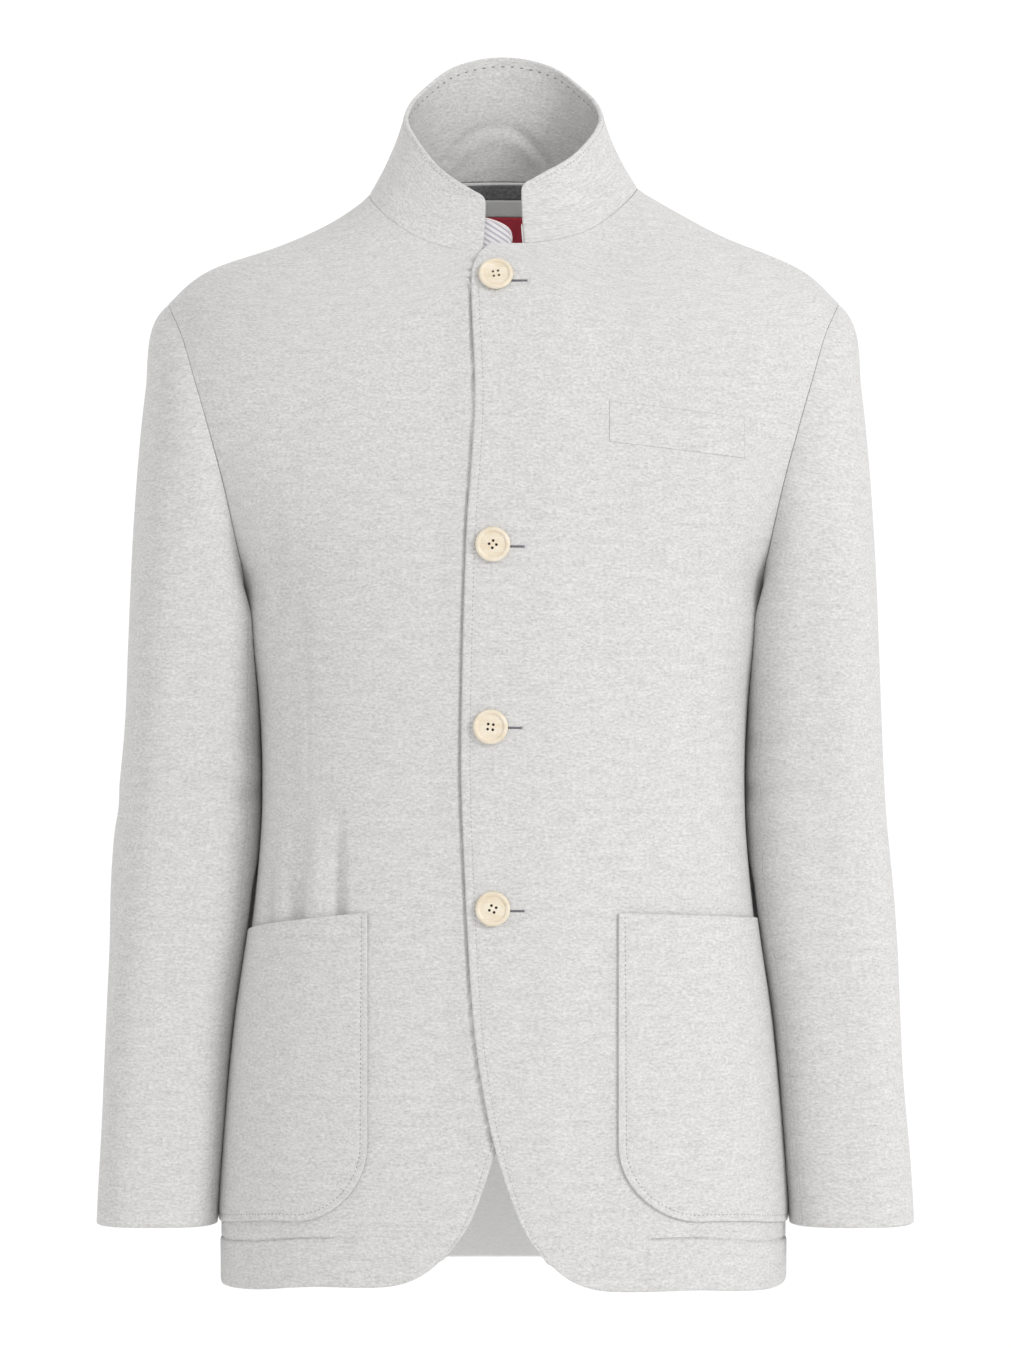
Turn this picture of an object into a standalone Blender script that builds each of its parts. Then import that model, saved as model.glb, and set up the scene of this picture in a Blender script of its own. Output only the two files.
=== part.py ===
"""Blazer coat: a hollow, worn shell of cut and sewn cloth pieces, with no wearer.

Sizes are in millimetres and become metres when a mesh is made.
+Z is up, the front faces -Y and +X is the wearer's left.
The origin is at the base of the neck, where the coat sits on the shoulders.
"""
import math
from collections import namedtuple

import bmesh
import bpy
from mathutils import Matrix, Vector

MM = 0.001

# Cloth and seams
CLOTH = 2.2
COLLAR_CLOTH = 3.0
POCKET_CLOTH = 2.0
WELT_CLOTH = 1.0
TRIM_CLOTH = 1.0
SEAM_GAP = 0.3
POCKET_SEAT = 0.5
TRIM_SEAT = 0.6
LAP_LIFT = 3.9
LAP_FULL_X = 26.0
LAP_END_X = 80.0

# Body sections: half width, depth to the front and back, and where the side is widest
BodyRow = namedtuple("BodyRow", "height half_width front back widest")
BODY_ROWS = [
    BodyRow(-730, 191.0, 127, 116, -8),
    BodyRow(-670, 190.5, 129, 121, -8),
    BodyRow(-560, 180.5, 127, 116, -9),
    BodyRow(-480, 169.0, 124, 104, -10),
    BodyRow(-411, 163.5, 122, 96, -10),
    BodyRow(-340, 166.0, 124, 103, -7),
    BodyRow(-275, 177.0, 126, 112, 0),
    BodyRow(-200, 177.0, 124, 118, 0),
    BodyRow(-130, 177.0, 115, 115, 0),
    BodyRow(-71, 177.0, 101, 103, 0),
    BodyRow(-38, 177.0, 86, 86, 3),
    BodyRow(4, 177.0, 72, 67, 6),
    BodyRow(17, 177.0, 66, 62, 8),
]
FRONT_ROUND = 2.4
BACK_ROUND = 2.3
HEM = -730.0

# Armhole: an ellipse seen from the side, its width across the body by height
ARM_TOP = -71.0
ARM_BOTTOM = -275.0
ARM_FRONT = 77.0
ARM_BACK = 74.0
ARM_BACK_WIDER = 4.0
ArmRow = namedtuple("ArmRow", "height across")
ARM_ROWS = [
    ArmRow(-275, 177.0),
    ArmRow(-258, 174.5),
    ArmRow(-238, 178.0),
    ArmRow(-197, 186.5),
    ArmRow(-156, 197.5),
    ArmRow(-129, 205.5),
    ArmRow(-94, 216.5),
    ArmRow(-71, 227.5),
]

# Shoulder seam, from the neck to the shoulder tip
ShoulderRow = namedtuple("ShoulderRow", "across height")
SHOULDER_ROWS = [
    ShoulderRow(91.0, 4),
    ShoulderRow(99.0, -3),
    ShoulderRow(122.0, -17),
    ShoulderRow(154.0, -31),
    ShoulderRow(192.0, -44),
    ShoulderRow(210.0, -54),
    ShoulderRow(227.5, -71),
]

# The shoulders aren't level: how far each place across is raised beside the neck
LeanRow = namedtuple("LeanRow", "across rise")
LEAN_ROWS = [
    LeanRow(-240, 0.0),
    LeanRow(-200, -1.2),
    LeanRow(-150, -1.8),
    LeanRow(-110, -1.5),
    LeanRow(-85, -0.4),
    LeanRow(-60, 0.0),
    LeanRow(55, 0.0),
    LeanRow(85, 3.0),
    LeanRow(102, 5.2),
    LeanRow(118, 5.8),
    LeanRow(133, 4.7),
    LeanRow(150, 3.3),
    LeanRow(170, 2.2),
    LeanRow(190, 0.9),
    LeanRow(220, 0.0),
]
LEAN_FADE = (-150.0, -50.0)

# Neck seam on the front and on the back, as a share of the way to the shoulder;
# the back has one row past its centre
NeckRow = namedtuple("NeckRow", "share across height")
NECK_FRONT_ROWS = [
    NeckRow(0.00, -11.0, -38.0),
    NeckRow(0.20, 21.0, -38.0),
    NeckRow(0.40, 52.0, -31.0),
    NeckRow(0.58, 73.0, -18.5),
    NeckRow(0.75, 85.0, -7.0),
    NeckRow(0.88, 90.0, 0.0),
    NeckRow(1.00, 91.0, 4.0),
]
NECK_BACK_ROWS = [
    NeckRow(-0.25, -35.0, 15.8),
    NeckRow(0.00, 0.0, 17.0),
    NeckRow(0.25, 35.0, 15.8),
    NeckRow(0.50, 64.0, 12.5),
    NeckRow(0.75, 84.0, 8.0),
    NeckRow(1.00, 91.0, 4.0),
]

# Front edge of the lapping front, from the neck down into the rounded corner
EdgeRow = namedtuple("EdgeRow", "height across")
EDGE_ROWS = [
    EdgeRow(-708, 27.0),
    EdgeRow(-688, 13.0),
    EdgeRow(-649, -1.5),
    EdgeRow(-609, -11.5),
    EdgeRow(-550, -20.0),
    EdgeRow(-431, -26.7),
    EdgeRow(-372, -28.0),
    EdgeRow(-234, -24.7),
    EdgeRow(-141, -19.0),
    EdgeRow(-56, -21.4),
    EdgeRow(-44, -18.0),
    EdgeRow(-34.8, -11.0),
]
HemRow = namedtuple("HemRow", "across height")
HEM_ROWS = [
    HemRow(27.0, -708),
    HemRow(43.0, -721),
    HemRow(58.0, -727.5),
    HemRow(76.0, -730),
    HemRow(130.0, -730.5),
    HemRow(160.0, -732.5),
    HemRow(178.0, -733.5),
    HemRow(187.0, -732.5),
    HemRow(192.0, -730),
]
UNDERLAP_SHIFT = 10.0
UNDER_HEM_RISE = 2.6
UNDER_HEM_FADE = (110.0, 175.0)
UNDER_NECK_START = 0.03
NECK_TILT = 3.2

# Sleeve sections below the sleeve head
SleeveRow = namedtuple("SleeveRow", "height across depth half_width half_depth")
SLEEVE_ROWS = [
    SleeveRow(-693, 234.0, -18, 41.0, 47),
    SleeveRow(-640, 230.5, -12, 42.5, 50),
    SleeveRow(-560, 225.5, -2, 44.5, 55),
    SleeveRow(-480, 217.0, 8, 49.0, 61),
    SleeveRow(-411, 211.0, 14, 49.0, 66),
    SleeveRow(-350, 210.0, 12, 47.0, 72),
    SleeveRow(-290, 208.0, 8, 46.5, 78),
]
SLEEVE_TOP = -290.0
CUFF = -693.0
SLEEVE_SQUARE = 2.8
SLEEVE_CLEAR = 1.7
POCKET_CLEAR = 3.0
POCKET_CLEAR_TOP = -440.0
POCKET_CLEAR_FULL = -470.0
FOREARM_SEAM = -137.0
HINDARM_SEAM = 120.0

# Soft folds where the sleeves bend, on the inside of the elbow
FoldRow = namedtuple("FoldRow", "height around half_height half_around depth")
SLEEVE_FOLDS = [
    FoldRow(-368, -118, 11, 46, 1.6),
    FoldRow(-402, -126, 13, 52, 2.4),
    FoldRow(-440, -112, 12, 44, 1.8),
    FoldRow(-330, 96, 15, 48, 1.5),
]

# Soft folds on the fronts: the waist dart, and slack cloth above the pocket mouths
FRONT_FOLDS = [
    FoldRow(-380, 133, 130, 5, 0.9),
    FoldRow(-462, 112, 24, 9, 1.5),
    FoldRow(-458, 139, 30, 8, 1.3),
]

# Collar top edge, by the angle from the centre front, with one row past the centre back
COLLAR_HALF_WIDTH = 67.0
COLLAR_HALF_DEPTH = 74.0
COLLAR_MIDDLE = -6.0
COLLAR_LIFT = 0.9
COLLAR_INSET = 0.6
COLLAR_BASE_END = 1.845
COLLAR_TOP_END = 1.885
COLLAR_TILT = 4.0
COLLAR_TILT_FADE = (20.0, 70.0)
COLLAR_BOW = 2.0
COLLAR_BOW_FADE = (25.0, 70.0)
COLLAR_LAP_FADE = (60.0, 90.0)
CollarRow = namedtuple("CollarRow", "angle height")
COLLAR_ROWS = [
    CollarRow(0, -4),
    CollarRow(12, 1.5),
    CollarRow(26, 10.5),
    CollarRow(40, 20),
    CollarRow(62, 39),
    CollarRow(78, 50),
    CollarRow(90, 56.5),
    CollarRow(125, 80),
    CollarRow(150, 97),
    CollarRow(180, 104),
    CollarRow(210, 97),
]

# Patch pockets, on both fronts
POCKET_FRONT_X = 82.5
CENTRE_SHIFT = 7.0
POCKET_SIDE_ANGLE = 86.0
POCKET_WIDTH = 165.0
POCKET_BOTTOM = -685.0
POCKET_FRONT_CORNER = 52.0
POCKET_SIDE_CORNER = 14.0
POCKET_SIDE_DROP = 6.0
POCKET_MOUTH = -480.0
POCKET_MOUTH_DROP = {1: 7.0, -1: 15.0}
POCKET_GAPE = 1.6

# Chest welt on the lapping front, from its front end to its armhole end
WELT_FRONT_X = 70.0
WELT_END_X = 160.0
WELT_TOP = -142.0
WELT_HEIGHT = 27.0
WELT_FALL = 10.0

# Buttons
ButtonPlace = namedtuple("ButtonPlace", "across height")
BUTTON_PLACES = [
    ButtonPlace(-5.0, -58.0),
    ButtonPlace(-7.0, -237.0),
    ButtonPlace(-8.5, -357.0),
    ButtonPlace(-7.0, -477.0),
]
BUTTON_SEAT = 0.6
BUTTON_SIDES = 20
BUTTON_HOLE_RADIUS = 0.8
BUTTON_HOLE_OFFSET = 1.7
BUTTON_HOLE_SIDES = 6
ButtonRow = namedtuple("ButtonRow", "radius height")
BUTTON_ROWS = [
    ButtonRow(9.6, 0.0),
    ButtonRow(11.2, 0.9),
    ButtonRow(11.5, 1.9),
    ButtonRow(10.8, 3.2),
    ButtonRow(9.6, 3.5),
    ButtonRow(8.2, 3.1),
    ButtonRow(7.2, 2.4),
]

# What shows inside the back neck: half width, top and bottom heights
TrimRow = namedtuple("TrimRow", "name half_width top bottom colour")
TRIM_ROWS = [
    TrimRow("neck_tape", 52, 16.4, 6.8, (0.05, 0.05, 0.055)),
    TrimRow("neck_facing", 58, 6.4, -4.6, (0.42, 0.42, 0.42)),
    TrimRow("neck_label", 44, -5.0, -44.0, (0.16, 0.012, 0.026)),
]

# Corner of the lining that shows in the neck gap, inside the right front: its rounded top edge
LiningRow = namedtuple("LiningRow", "across top")
LINING_ROWS = [
    LiningRow(-16.0, -16.0),
    LiningRow(-10.0, -17.4),
    LiningRow(-3.0, -19.8),
    LiningRow(3.0, -23.4),
    LiningRow(5.0, -27.0),
    LiningRow(5.8, -32.0),
]
LINING_BOTTOM = -62.0
LINING_DEPTH = 4.2
LINING_COLOUR = (0.72, 0.70, 0.72)

# Grid sizes
LOWER_ROWS = 15
UPPER_EDGE_ROWS = 8
UPPER_NECK_ROWS = 10
FRONT_COLUMNS = 17
BACK_COLUMNS = 13
CAP_ROWS = 9
ARM_ROWS_BELOW = 11
UPPER_SLEEVE_COLUMNS = 17
UNDER_SLEEVE_COLUMNS = 8
COLLAR_COLUMNS = 41
COLLAR_UP = 5

# Colours (linear) and finishes
CLOTH_COLOUR = (0.68, 0.67, 0.66)
BUTTON_COLOUR = (0.86, 0.78, 0.62)
CLOTH_ROUGHNESS = 0.95
BUTTON_ROUGHNESS = 0.35


class Curve:
    """A smooth curve through a table: the first column is the key, the rest are values."""

    def __init__(self, rows):
        ordered = sorted(rows)
        self.keys = [row[0] for row in ordered]
        self.values = [row[1:] for row in ordered]

    def slope(self, index, column):
        low = max(index - 1, 0)
        high = min(index + 1, len(self.keys) - 1)
        rise = self.values[high][column] - self.values[low][column]
        return rise / (self.keys[high] - self.keys[low])

    def __call__(self, key):
        key = min(max(key, self.keys[0]), self.keys[-1])
        index = 0
        while index < len(self.keys) - 2 and key > self.keys[index + 1]:
            index += 1
        span = self.keys[index + 1] - self.keys[index]
        t = (key - self.keys[index]) / span
        found = []
        for column in range(len(self.values[0])):
            start = self.values[index][column]
            end = self.values[index + 1][column]
            out = self.slope(index, column) * span
            into = self.slope(index + 1, column) * span
            found.append(
                start * (2 * t ** 3 - 3 * t ** 2 + 1) + out * (t ** 3 - 2 * t ** 2 + t)
                + end * (3 * t ** 2 - 2 * t ** 3) + into * (t ** 3 - t ** 2)
            )
        return found if len(found) > 1 else found[0]


body_curve = Curve(BODY_ROWS)
arm_curve = Curve(ARM_ROWS)
shoulder_height = Curve(SHOULDER_ROWS)
shoulder_across = Curve([(row.height, row.across) for row in SHOULDER_ROWS])
neck_front = Curve(NECK_FRONT_ROWS)
neck_back = Curve(NECK_BACK_ROWS)
neck_height = Curve([(row.across, row.height) for row in NECK_BACK_ROWS])
edge_curve = Curve(EDGE_ROWS)
hem_curve = Curve(HEM_ROWS)
lean_curve = Curve(LEAN_ROWS)
sleeve_curve = Curve(SLEEVE_ROWS)
collar_curve = Curve(COLLAR_ROWS)
lining_top = Curve(LINING_ROWS)


def mix(start, end, t):
    return start + (end - start) * t


def ease(low, high, value):
    """0 at low, 1 at high, smooth between."""
    t = min(max((value - low) / (high - low), 0.0), 1.0)
    return t * t * (3 - 2 * t)


def bump(value, centre, half_width):
    """A soft hump of height 1 that fades to 0 at one half width."""
    t = min(abs(value - centre) / half_width, 1.0)
    return (1 - t * t) ** 2


def arm_angle(height):
    """Angle round the armhole from its top, for a height on it."""
    middle = (ARM_TOP + ARM_BOTTOM) / 2
    half = (ARM_TOP - ARM_BOTTOM) / 2
    return math.acos(min(max((height - middle) / half, -1.0), 1.0))


def arm_point(angle):
    """Point on the armhole: 0 at the shoulder tip, negative to the front, in radians."""
    middle = (ARM_TOP + ARM_BOTTOM) / 2
    half = (ARM_TOP - ARM_BOTTOM) / 2
    height = middle + half * math.cos(angle)
    wider = ARM_BACK_WIDER * max(math.sin(angle), 0.0) ** 2
    reach = ARM_BACK if angle > 0 else ARM_FRONT
    return Vector((arm_curve(height) + wider, reach * math.sin(angle), height))


def section(height, facing):
    """Half width, depth, widest place and roundness of the front (-1) or back (1) there."""
    half_width, front, back, widest = body_curve(height)
    depth = widest + front if facing < 0 else back - widest
    power = FRONT_ROUND if facing < 0 else BACK_ROUND
    if height >= ARM_TOP:
        half_width = shoulder_across(height)
    elif height > ARM_BOTTOM:
        seam = arm_point(facing * arm_angle(height))
        share = min(abs(seam.y - widest) / depth, 0.99)
        half_width = seam.x / (1 - share ** power) ** (1 / power)
    return half_width, depth, widest, power


def fold_depth(folds, height, around):
    total = 0.0
    for fold in folds:
        along = bump(height, fold.height, fold.half_height)
        total += fold.depth * along * bump(around, fold.around, fold.half_around)
    return total


def body_point(angle, height, facing):
    """Point on the +X half of the body: angle 0 at the centre, 90 degrees at the side."""
    half_width, depth, widest, power = section(height, facing)
    turn = math.sin(math.radians(angle))
    reach = max(1 - abs(turn) ** power, 0.0) ** (1 / power)
    out = widest + facing * (SEAM_GAP / 2 + depth * reach)
    return Vector((half_width * turn, out, height))


def front_point(angle, height, side):
    """Front of the +X half, lifted near the edge where it laps, with its soft folds."""
    point = body_point(angle, height, -1)
    if side > 0:
        point.y -= LAP_LIFT * (1 - ease(LAP_FULL_X, LAP_END_X, point.x))
    point.y += fold_depth(FRONT_FOLDS, height, point.x + side * CENTRE_SHIFT)
    return point


def back_point(angle, height):
    return body_point(angle, height, 1)


def angle_at(across, height, facing):
    """Body angle where the surface is that far across."""
    half_width = section(height, facing)[0]
    return math.degrees(math.asin(min(max(across / half_width, -1.0), 1.0)))


def surface_normal(surface, u, v, step_u, step_v, outward):
    """Normal of a surface, by small steps back along u and to both sides along v."""
    along_u = surface(u, v) - surface(u - step_u, v)
    along_v = surface(u, v + step_v) - surface(u, v - step_v)
    normal = along_u.cross(along_v).normalized()
    return normal if normal.dot(outward) >= 0 else -normal


def body_normal(surface, angle, height):
    outward = surface(angle, height) - Vector((0, 0, height))
    step = 0.5 if angle > 0 else -0.5
    return surface_normal(surface, angle, height, step, 1.0, outward)


def cloth_material(name, colour, roughness):
    material = bpy.data.materials.new(name)
    material.use_nodes = True
    shader = material.node_tree.nodes["Principled BSDF"]
    shader.inputs["Base Color"].default_value = (*colour, 1.0)
    shader.inputs["Roughness"].default_value = roughness
    shader.inputs["Metallic"].default_value = 0.0
    material.diffuse_color = (*colour, 1.0)
    return material


def add_object(name, mesh, colour, roughness):
    part = bpy.data.objects.new(name, mesh)
    bpy.context.scene.collection.objects.link(part)
    mesh.materials.append(cloth_material(name, colour, roughness))
    mesh.shade_smooth()
    mesh.set_sharp_from_angle(angle=math.radians(40))
    return part


def grid_faces(rows, columns):
    faces = []
    for row in range(rows - 1):
        for column in range(columns - 1):
            first = row * columns + column
            faces.append((first, first + 1, first + columns + 1, first + columns))
    return faces


def lean(point):
    """The point raised as the uneven shoulders are."""
    rise = lean_curve(point.x) * ease(*LEAN_FADE, point.z)
    return point + Vector((0, 0, rise))


def add_shell(name, points, normals, faces, thickness, side=1, colour=CLOTH_COLOUR):
    """A closed wall: the points are its outer face, and it is thickened against the normals."""
    mirror = Vector((side, 1, 1))
    outer = [point * mirror for point in points]
    away = [normal * mirror for normal in normals]
    inner = [point - normal * thickness for point, normal in zip(outer, away)]
    first = faces[len(faces) // 2]
    across = (outer[first[2]] - outer[first[0]]).cross(outer[first[3]] - outer[first[1]])
    if across.dot(away[first[0]]) < 0:
        faces = [tuple(reversed(face)) for face in faces]
    edges = set()
    for face in faces:
        for start, end in zip(face, face[1:] + face[:1]):
            edges.add((start, end))
    count = len(outer)
    every = list(faces)
    every += [tuple(count + index for index in reversed(face)) for face in faces]
    for start, end in sorted(edges):
        if (end, start) not in edges:
            every.append((end, start, count + start, count + end))
    mesh = bpy.data.meshes.new(name)
    mesh.from_pydata([lean(vertex) * MM for vertex in outer + inner], [], every)
    mesh.update()
    return add_object(name, mesh, colour, CLOTH_ROUGHNESS)


def panel_rows(inner_edge, neck, facing, hem=None):
    """Rows of (angle, height) pairs for half a body panel, from the hem to the shoulder."""
    columns = FRONT_COLUMNS if facing < 0 else BACK_COLUMNS
    hem_start = inner_edge(HEM)
    inner = []
    outer = []
    for row in range(LOWER_ROWS):
        t = row / LOWER_ROWS
        height = mix(hem_start[1], ARM_BOTTOM, t)
        inner.append((angle_at(inner_edge(height)[0], height, facing), height))
        outer.append((90.0, mix(HEM, ARM_BOTTOM, t)))
    upper = UPPER_EDGE_ROWS + UPPER_NECK_ROWS
    neck_start = neck(0.0)
    for row in range(upper + 1):
        if row <= UPPER_EDGE_ROWS:
            height = mix(ARM_BOTTOM, neck_start[1], row / UPPER_EDGE_ROWS)
            across = inner_edge(height)[0]
        else:
            quarter = math.pi / 2 * (row - UPPER_EDGE_ROWS) / UPPER_NECK_ROWS
            across, height = neck(math.sin(quarter))
        inner.append((angle_at(across, height, facing), height))
        seam = arm_point(facing * math.pi * (1 - row / upper))
        outer.append((angle_at(seam.x, seam.z, facing), seam.z))
    rows = []
    for row, (start, end) in enumerate(zip(inner, outer)):
        low = max(1 - row / LOWER_ROWS, 0.0) ** 2
        high = max((row - LOWER_ROWS) / upper, 0.0) ** 2
        line = []
        for column in range(columns):
            u = column / (columns - 1)
            angle = mix(start[0], end[0], u)
            height = mix(start[1], end[1], u)
            across = section(HEM, facing)[0] * math.sin(math.radians(mix(inner[0][0], 90.0, u)))
            if hem:
                height += low * (hem(across) - mix(hem_start[1], HEM, u))
            seam_x = mix(SHOULDER_ROWS[0].across, SHOULDER_ROWS[-1].across, u)
            straight = mix(SHOULDER_ROWS[0].height, SHOULDER_ROWS[-1].height, u)
            height += high * (shoulder_height(seam_x) - straight)
            line.append((angle, height))
        rows.append(line)
    return rows


def add_front(name, side):
    shift = 0.0 if side > 0 else UNDERLAP_SHIFT
    neck_start = 0.0 if side > 0 else UNDER_NECK_START

    def inner_edge(height):
        height = max(height, EDGE_ROWS[0].height)
        return edge_curve(height) + shift, height

    def neck(share):
        return neck_line(mix(neck_start, 1.0, share), side)

    def hem(across):
        rise = 0.0 if side > 0 else UNDER_HEM_RISE * (1 - ease(*UNDER_HEM_FADE, across))
        return hem_curve(across - shift) + rise

    def surface(angle, height):
        return front_point(angle, height, side)

    rows = panel_rows(inner_edge, neck, -1, hem)
    pairs = [pair for line in rows for pair in line]
    points = [surface(*pair) for pair in pairs]
    normals = [body_normal(surface, *pair) for pair in pairs]
    return add_shell(name, points, normals, grid_faces(len(rows), FRONT_COLUMNS), CLOTH, side)


def add_back():
    """One back panel: half of it is worked out, mirrored and joined along the centre."""
    rows = panel_rows(lambda height: (0.0, max(height, HEM)), neck_back, 1)
    pairs = [pair for line in rows for pair in line]
    points = [back_point(*pair) for pair in pairs]
    normals = [body_normal(back_point, *pair) for pair in pairs]
    faces = grid_faces(len(rows), BACK_COLUMNS)
    count = len(points)
    centre_rows = LOWER_ROWS + UPPER_EDGE_ROWS
    twin = {}
    for index in range(count):
        row, column = divmod(index, BACK_COLUMNS)
        if column == 0 and row <= centre_rows:
            twin[index] = index
            points[index].x = 0.0
            normals[index].x = 0.0
            continue
        twin[index] = len(points)
        points.append(points[index] * Vector((-1, 1, 1)))
        normals.append(normals[index] * Vector((-1, 1, 1)))
    faces += [tuple(twin[index] for index in reversed(face)) for face in faces]
    return add_shell("back", points, normals, faces, CLOTH)


def body_side(depth, height):
    """How far the body reaches across at that depth, for the sleeve to clear."""
    facing = -1 if depth < section(height, 1)[2] else 1
    half_width, reach, widest, power = section(height, facing)
    share = min(abs(depth - widest) / reach, 1.0)
    return half_width * (1 - share ** power) ** (1 / power)


def clear_of_body(point):
    if point.z < ARM_BOTTOM:
        pocket = 1 - ease(POCKET_CLEAR_FULL, POCKET_CLEAR_TOP, point.z)
        clear = body_side(point.y, point.z) + SLEEVE_CLEAR + POCKET_CLEAR * pocket
        below = ease(ARM_BOTTOM, SLEEVE_TOP, point.z)
        point.x = max(point.x, mix(point.x, clear, below))
    return point


def sleeve_ring(angle, height):
    """Point on the sleeve below its head: angle 0 outside, negative to the front."""
    across, depth, half_width, half_depth = sleeve_curve(height)
    dent = fold_depth(SLEEVE_FOLDS, height, angle if angle < 180 else angle - 360)
    turn = math.radians(angle)
    far = (abs(math.cos(turn)) ** SLEEVE_SQUARE + abs(math.sin(turn)) ** SLEEVE_SQUARE) ** (-1 / SLEEVE_SQUARE)
    x = across + (half_width - dent) * far * math.cos(turn)
    y = depth + (half_depth - dent) * far * math.sin(turn)
    return clear_of_body(Vector((x, y, height)))


def sleeve_point(angle, level):
    """Point on the +X sleeve: level 0 at the armhole, 1 below the head, 2 at the cuff."""
    if level >= 1:
        return sleeve_ring(angle, mix(SLEEVE_TOP, CUFF, level - 1))
    turn = math.radians(angle)
    start = arm_point(turn)
    start.x += SEAM_GAP
    end = sleeve_ring(angle, SLEEVE_TOP)
    below = sleeve_ring(angle, SLEEVE_TOP - 10)
    top = (1 + math.cos(turn)) / 2
    leave = Vector((0.10 + 0.75 * top, 0.28 * math.sin(turn), -1 + 0.3 * top)).normalized()
    length = (end - start).length
    near = start + leave * length * (0.30 - 0.20 * top)
    far = end - (below - end).normalized() * length * 0.35
    t = level
    point = start * (1 - t) ** 3 + near * 3 * t * (1 - t) ** 2
    point = point + far * 3 * t * t * (1 - t) + end * t ** 3
    return clear_of_body(point)


def sleeve_normal(angle, level):
    around = sleeve_point(angle + 0.5, level) - sleeve_point(angle - 0.5, level)
    low = max(level - 0.01, 0.0)
    high = min(level + 0.01, 2.0)
    along = sleeve_point(angle, high) - sleeve_point(angle, low)
    return along.cross(around).normalized()


def add_sleeve_piece(name, side, start, end, columns):
    levels = [row / CAP_ROWS for row in range(CAP_ROWS)]
    levels += [1 + row / ARM_ROWS_BELOW for row in range(ARM_ROWS_BELOW + 1)]
    angles = [mix(start, end, column / (columns - 1)) for column in range(columns)]
    pairs = [(angle, level) for level in levels for angle in angles]
    points = [sleeve_point(*pair) for pair in pairs]
    normals = [sleeve_normal(*pair) for pair in pairs]
    return add_shell(name, points, normals, grid_faces(len(levels), columns), CLOTH, side)


def add_sleeve(word, side):
    half_gap = math.degrees(SEAM_GAP / 2 / SLEEVE_ROWS[0].half_width)
    front = FOREARM_SEAM + half_gap
    behind = HINDARM_SEAM - half_gap
    add_sleeve_piece("upper_sleeve_" + word, side, front, behind, UPPER_SLEEVE_COLUMNS)
    front = FOREARM_SEAM - half_gap + 360
    behind = HINDARM_SEAM + half_gap
    add_sleeve_piece("under_sleeve_" + word, side, behind, front, UNDER_SLEEVE_COLUMNS)


def neck_line(share, side):
    """Front neck seam, by the share of the way to the shoulder: a little higher where it laps."""
    across, height = neck_front(share)
    return across, height + side * NECK_TILT * (1 - share ** 2)


def neck_point(place):
    """Neck seam: 0 at the centre back, 1 at the shoulder, 2 at the centre front, +X side first."""
    way = abs(place)
    side = 1 if place >= 0 else -1
    if way <= 1:
        across, height = neck_back(way)
        point = back_point(angle_at(across, height, 1), height)
    else:
        across, height = neck_line(2 - way, side)
        point = front_point(angle_at(across, height, -1), height, side)
    point.x *= side
    return point


def collar_point(place, up):
    """Point on the collar: place along it as on the neck seam, up from 0 to 1."""
    reach = mix(COLLAR_BASE_END, COLLAR_TOP_END, up)
    base = neck_point(place * reach)
    angle = 180 - 90 * abs(place) * reach
    turn = math.radians(angle)
    top = Vector((
        math.copysign(COLLAR_HALF_WIDTH * math.sin(turn), place),
        COLLAR_MIDDLE - COLLAR_HALF_DEPTH * math.cos(turn),
        collar_curve(angle),
    ))
    if place > 0:
        lapped = 1 - ease(LAP_FULL_X, LAP_END_X, top.x)
        top.y -= LAP_LIFT * lapped * (1 - ease(*COLLAR_LAP_FADE, angle))
    tilt = 1 - ease(*COLLAR_TILT_FADE, angle)
    top.z += math.copysign(COLLAR_TILT * tilt, place)
    inward = Vector((-base.x, COLLAR_MIDDLE - base.y, 0)).normalized()
    seat = base + (top - base).normalized() * COLLAR_LIFT + inward * COLLAR_INSET
    bow = COLLAR_BOW * math.sin(math.pi * up) * ease(*COLLAR_BOW_FADE, angle)
    return seat.lerp(top, up) + inward * bow


def collar_normal(place, up):
    around = collar_point(min(place + 0.01, 1.0), up) - collar_point(max(place - 0.01, -1.0), up)
    rise = collar_point(place, 1.0) - collar_point(place, 0.0)
    return rise.cross(around).normalized()


def add_collar():
    pairs = []
    for row in range(COLLAR_UP):
        for column in range(COLLAR_COLUMNS):
            pairs.append((2 * column / (COLLAR_COLUMNS - 1) - 1, row / (COLLAR_UP - 1)))
    points = [collar_point(*pair) for pair in pairs]
    normals = [collar_normal(*pair) for pair in pairs]
    for pair, normal in zip(pairs, normals):
        outward = collar_point(*pair) - Vector((0, COLLAR_MIDDLE, 0))
        if normal.dot(Vector((outward.x, outward.y, 0))) < 0:
            normal.negate()
    return add_shell("collar", points, normals, grid_faces(COLLAR_UP, COLLAR_COLUMNS), COLLAR_CLOTH)


def pocket_columns():
    """Distances across a patch pocket from its front edge, closer together at the corners."""
    steps = 5
    places = []
    for step in range(steps + 1):
        places.append(POCKET_FRONT_CORNER * (1 - math.cos(math.pi / 2 * step / steps)))
    flat = POCKET_WIDTH - POCKET_FRONT_CORNER - POCKET_SIDE_CORNER
    for step in range(1, 7):
        places.append(POCKET_FRONT_CORNER + flat * step / 6)
    for step in range(1, 4):
        turn = math.pi / 2 * step / 3
        places.append(POCKET_WIDTH - POCKET_SIDE_CORNER * (1 - math.sin(turn)))
    return places


def pocket_fall(place):
    return POCKET_SIDE_DROP * ease(POCKET_FRONT_CORNER, POCKET_WIDTH, place)


def pocket_bottom(place):
    """Bottom height there: it falls to the side, and both lower corners are rounded."""
    height = POCKET_BOTTOM - pocket_fall(place)
    for radius, inset in (
        (POCKET_FRONT_CORNER, place),
        (POCKET_SIDE_CORNER, POCKET_WIDTH - place),
    ):
        if inset < radius:
            height += radius - math.sqrt(max(radius ** 2 - (radius - inset) ** 2, 0.0))
    return height


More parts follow.
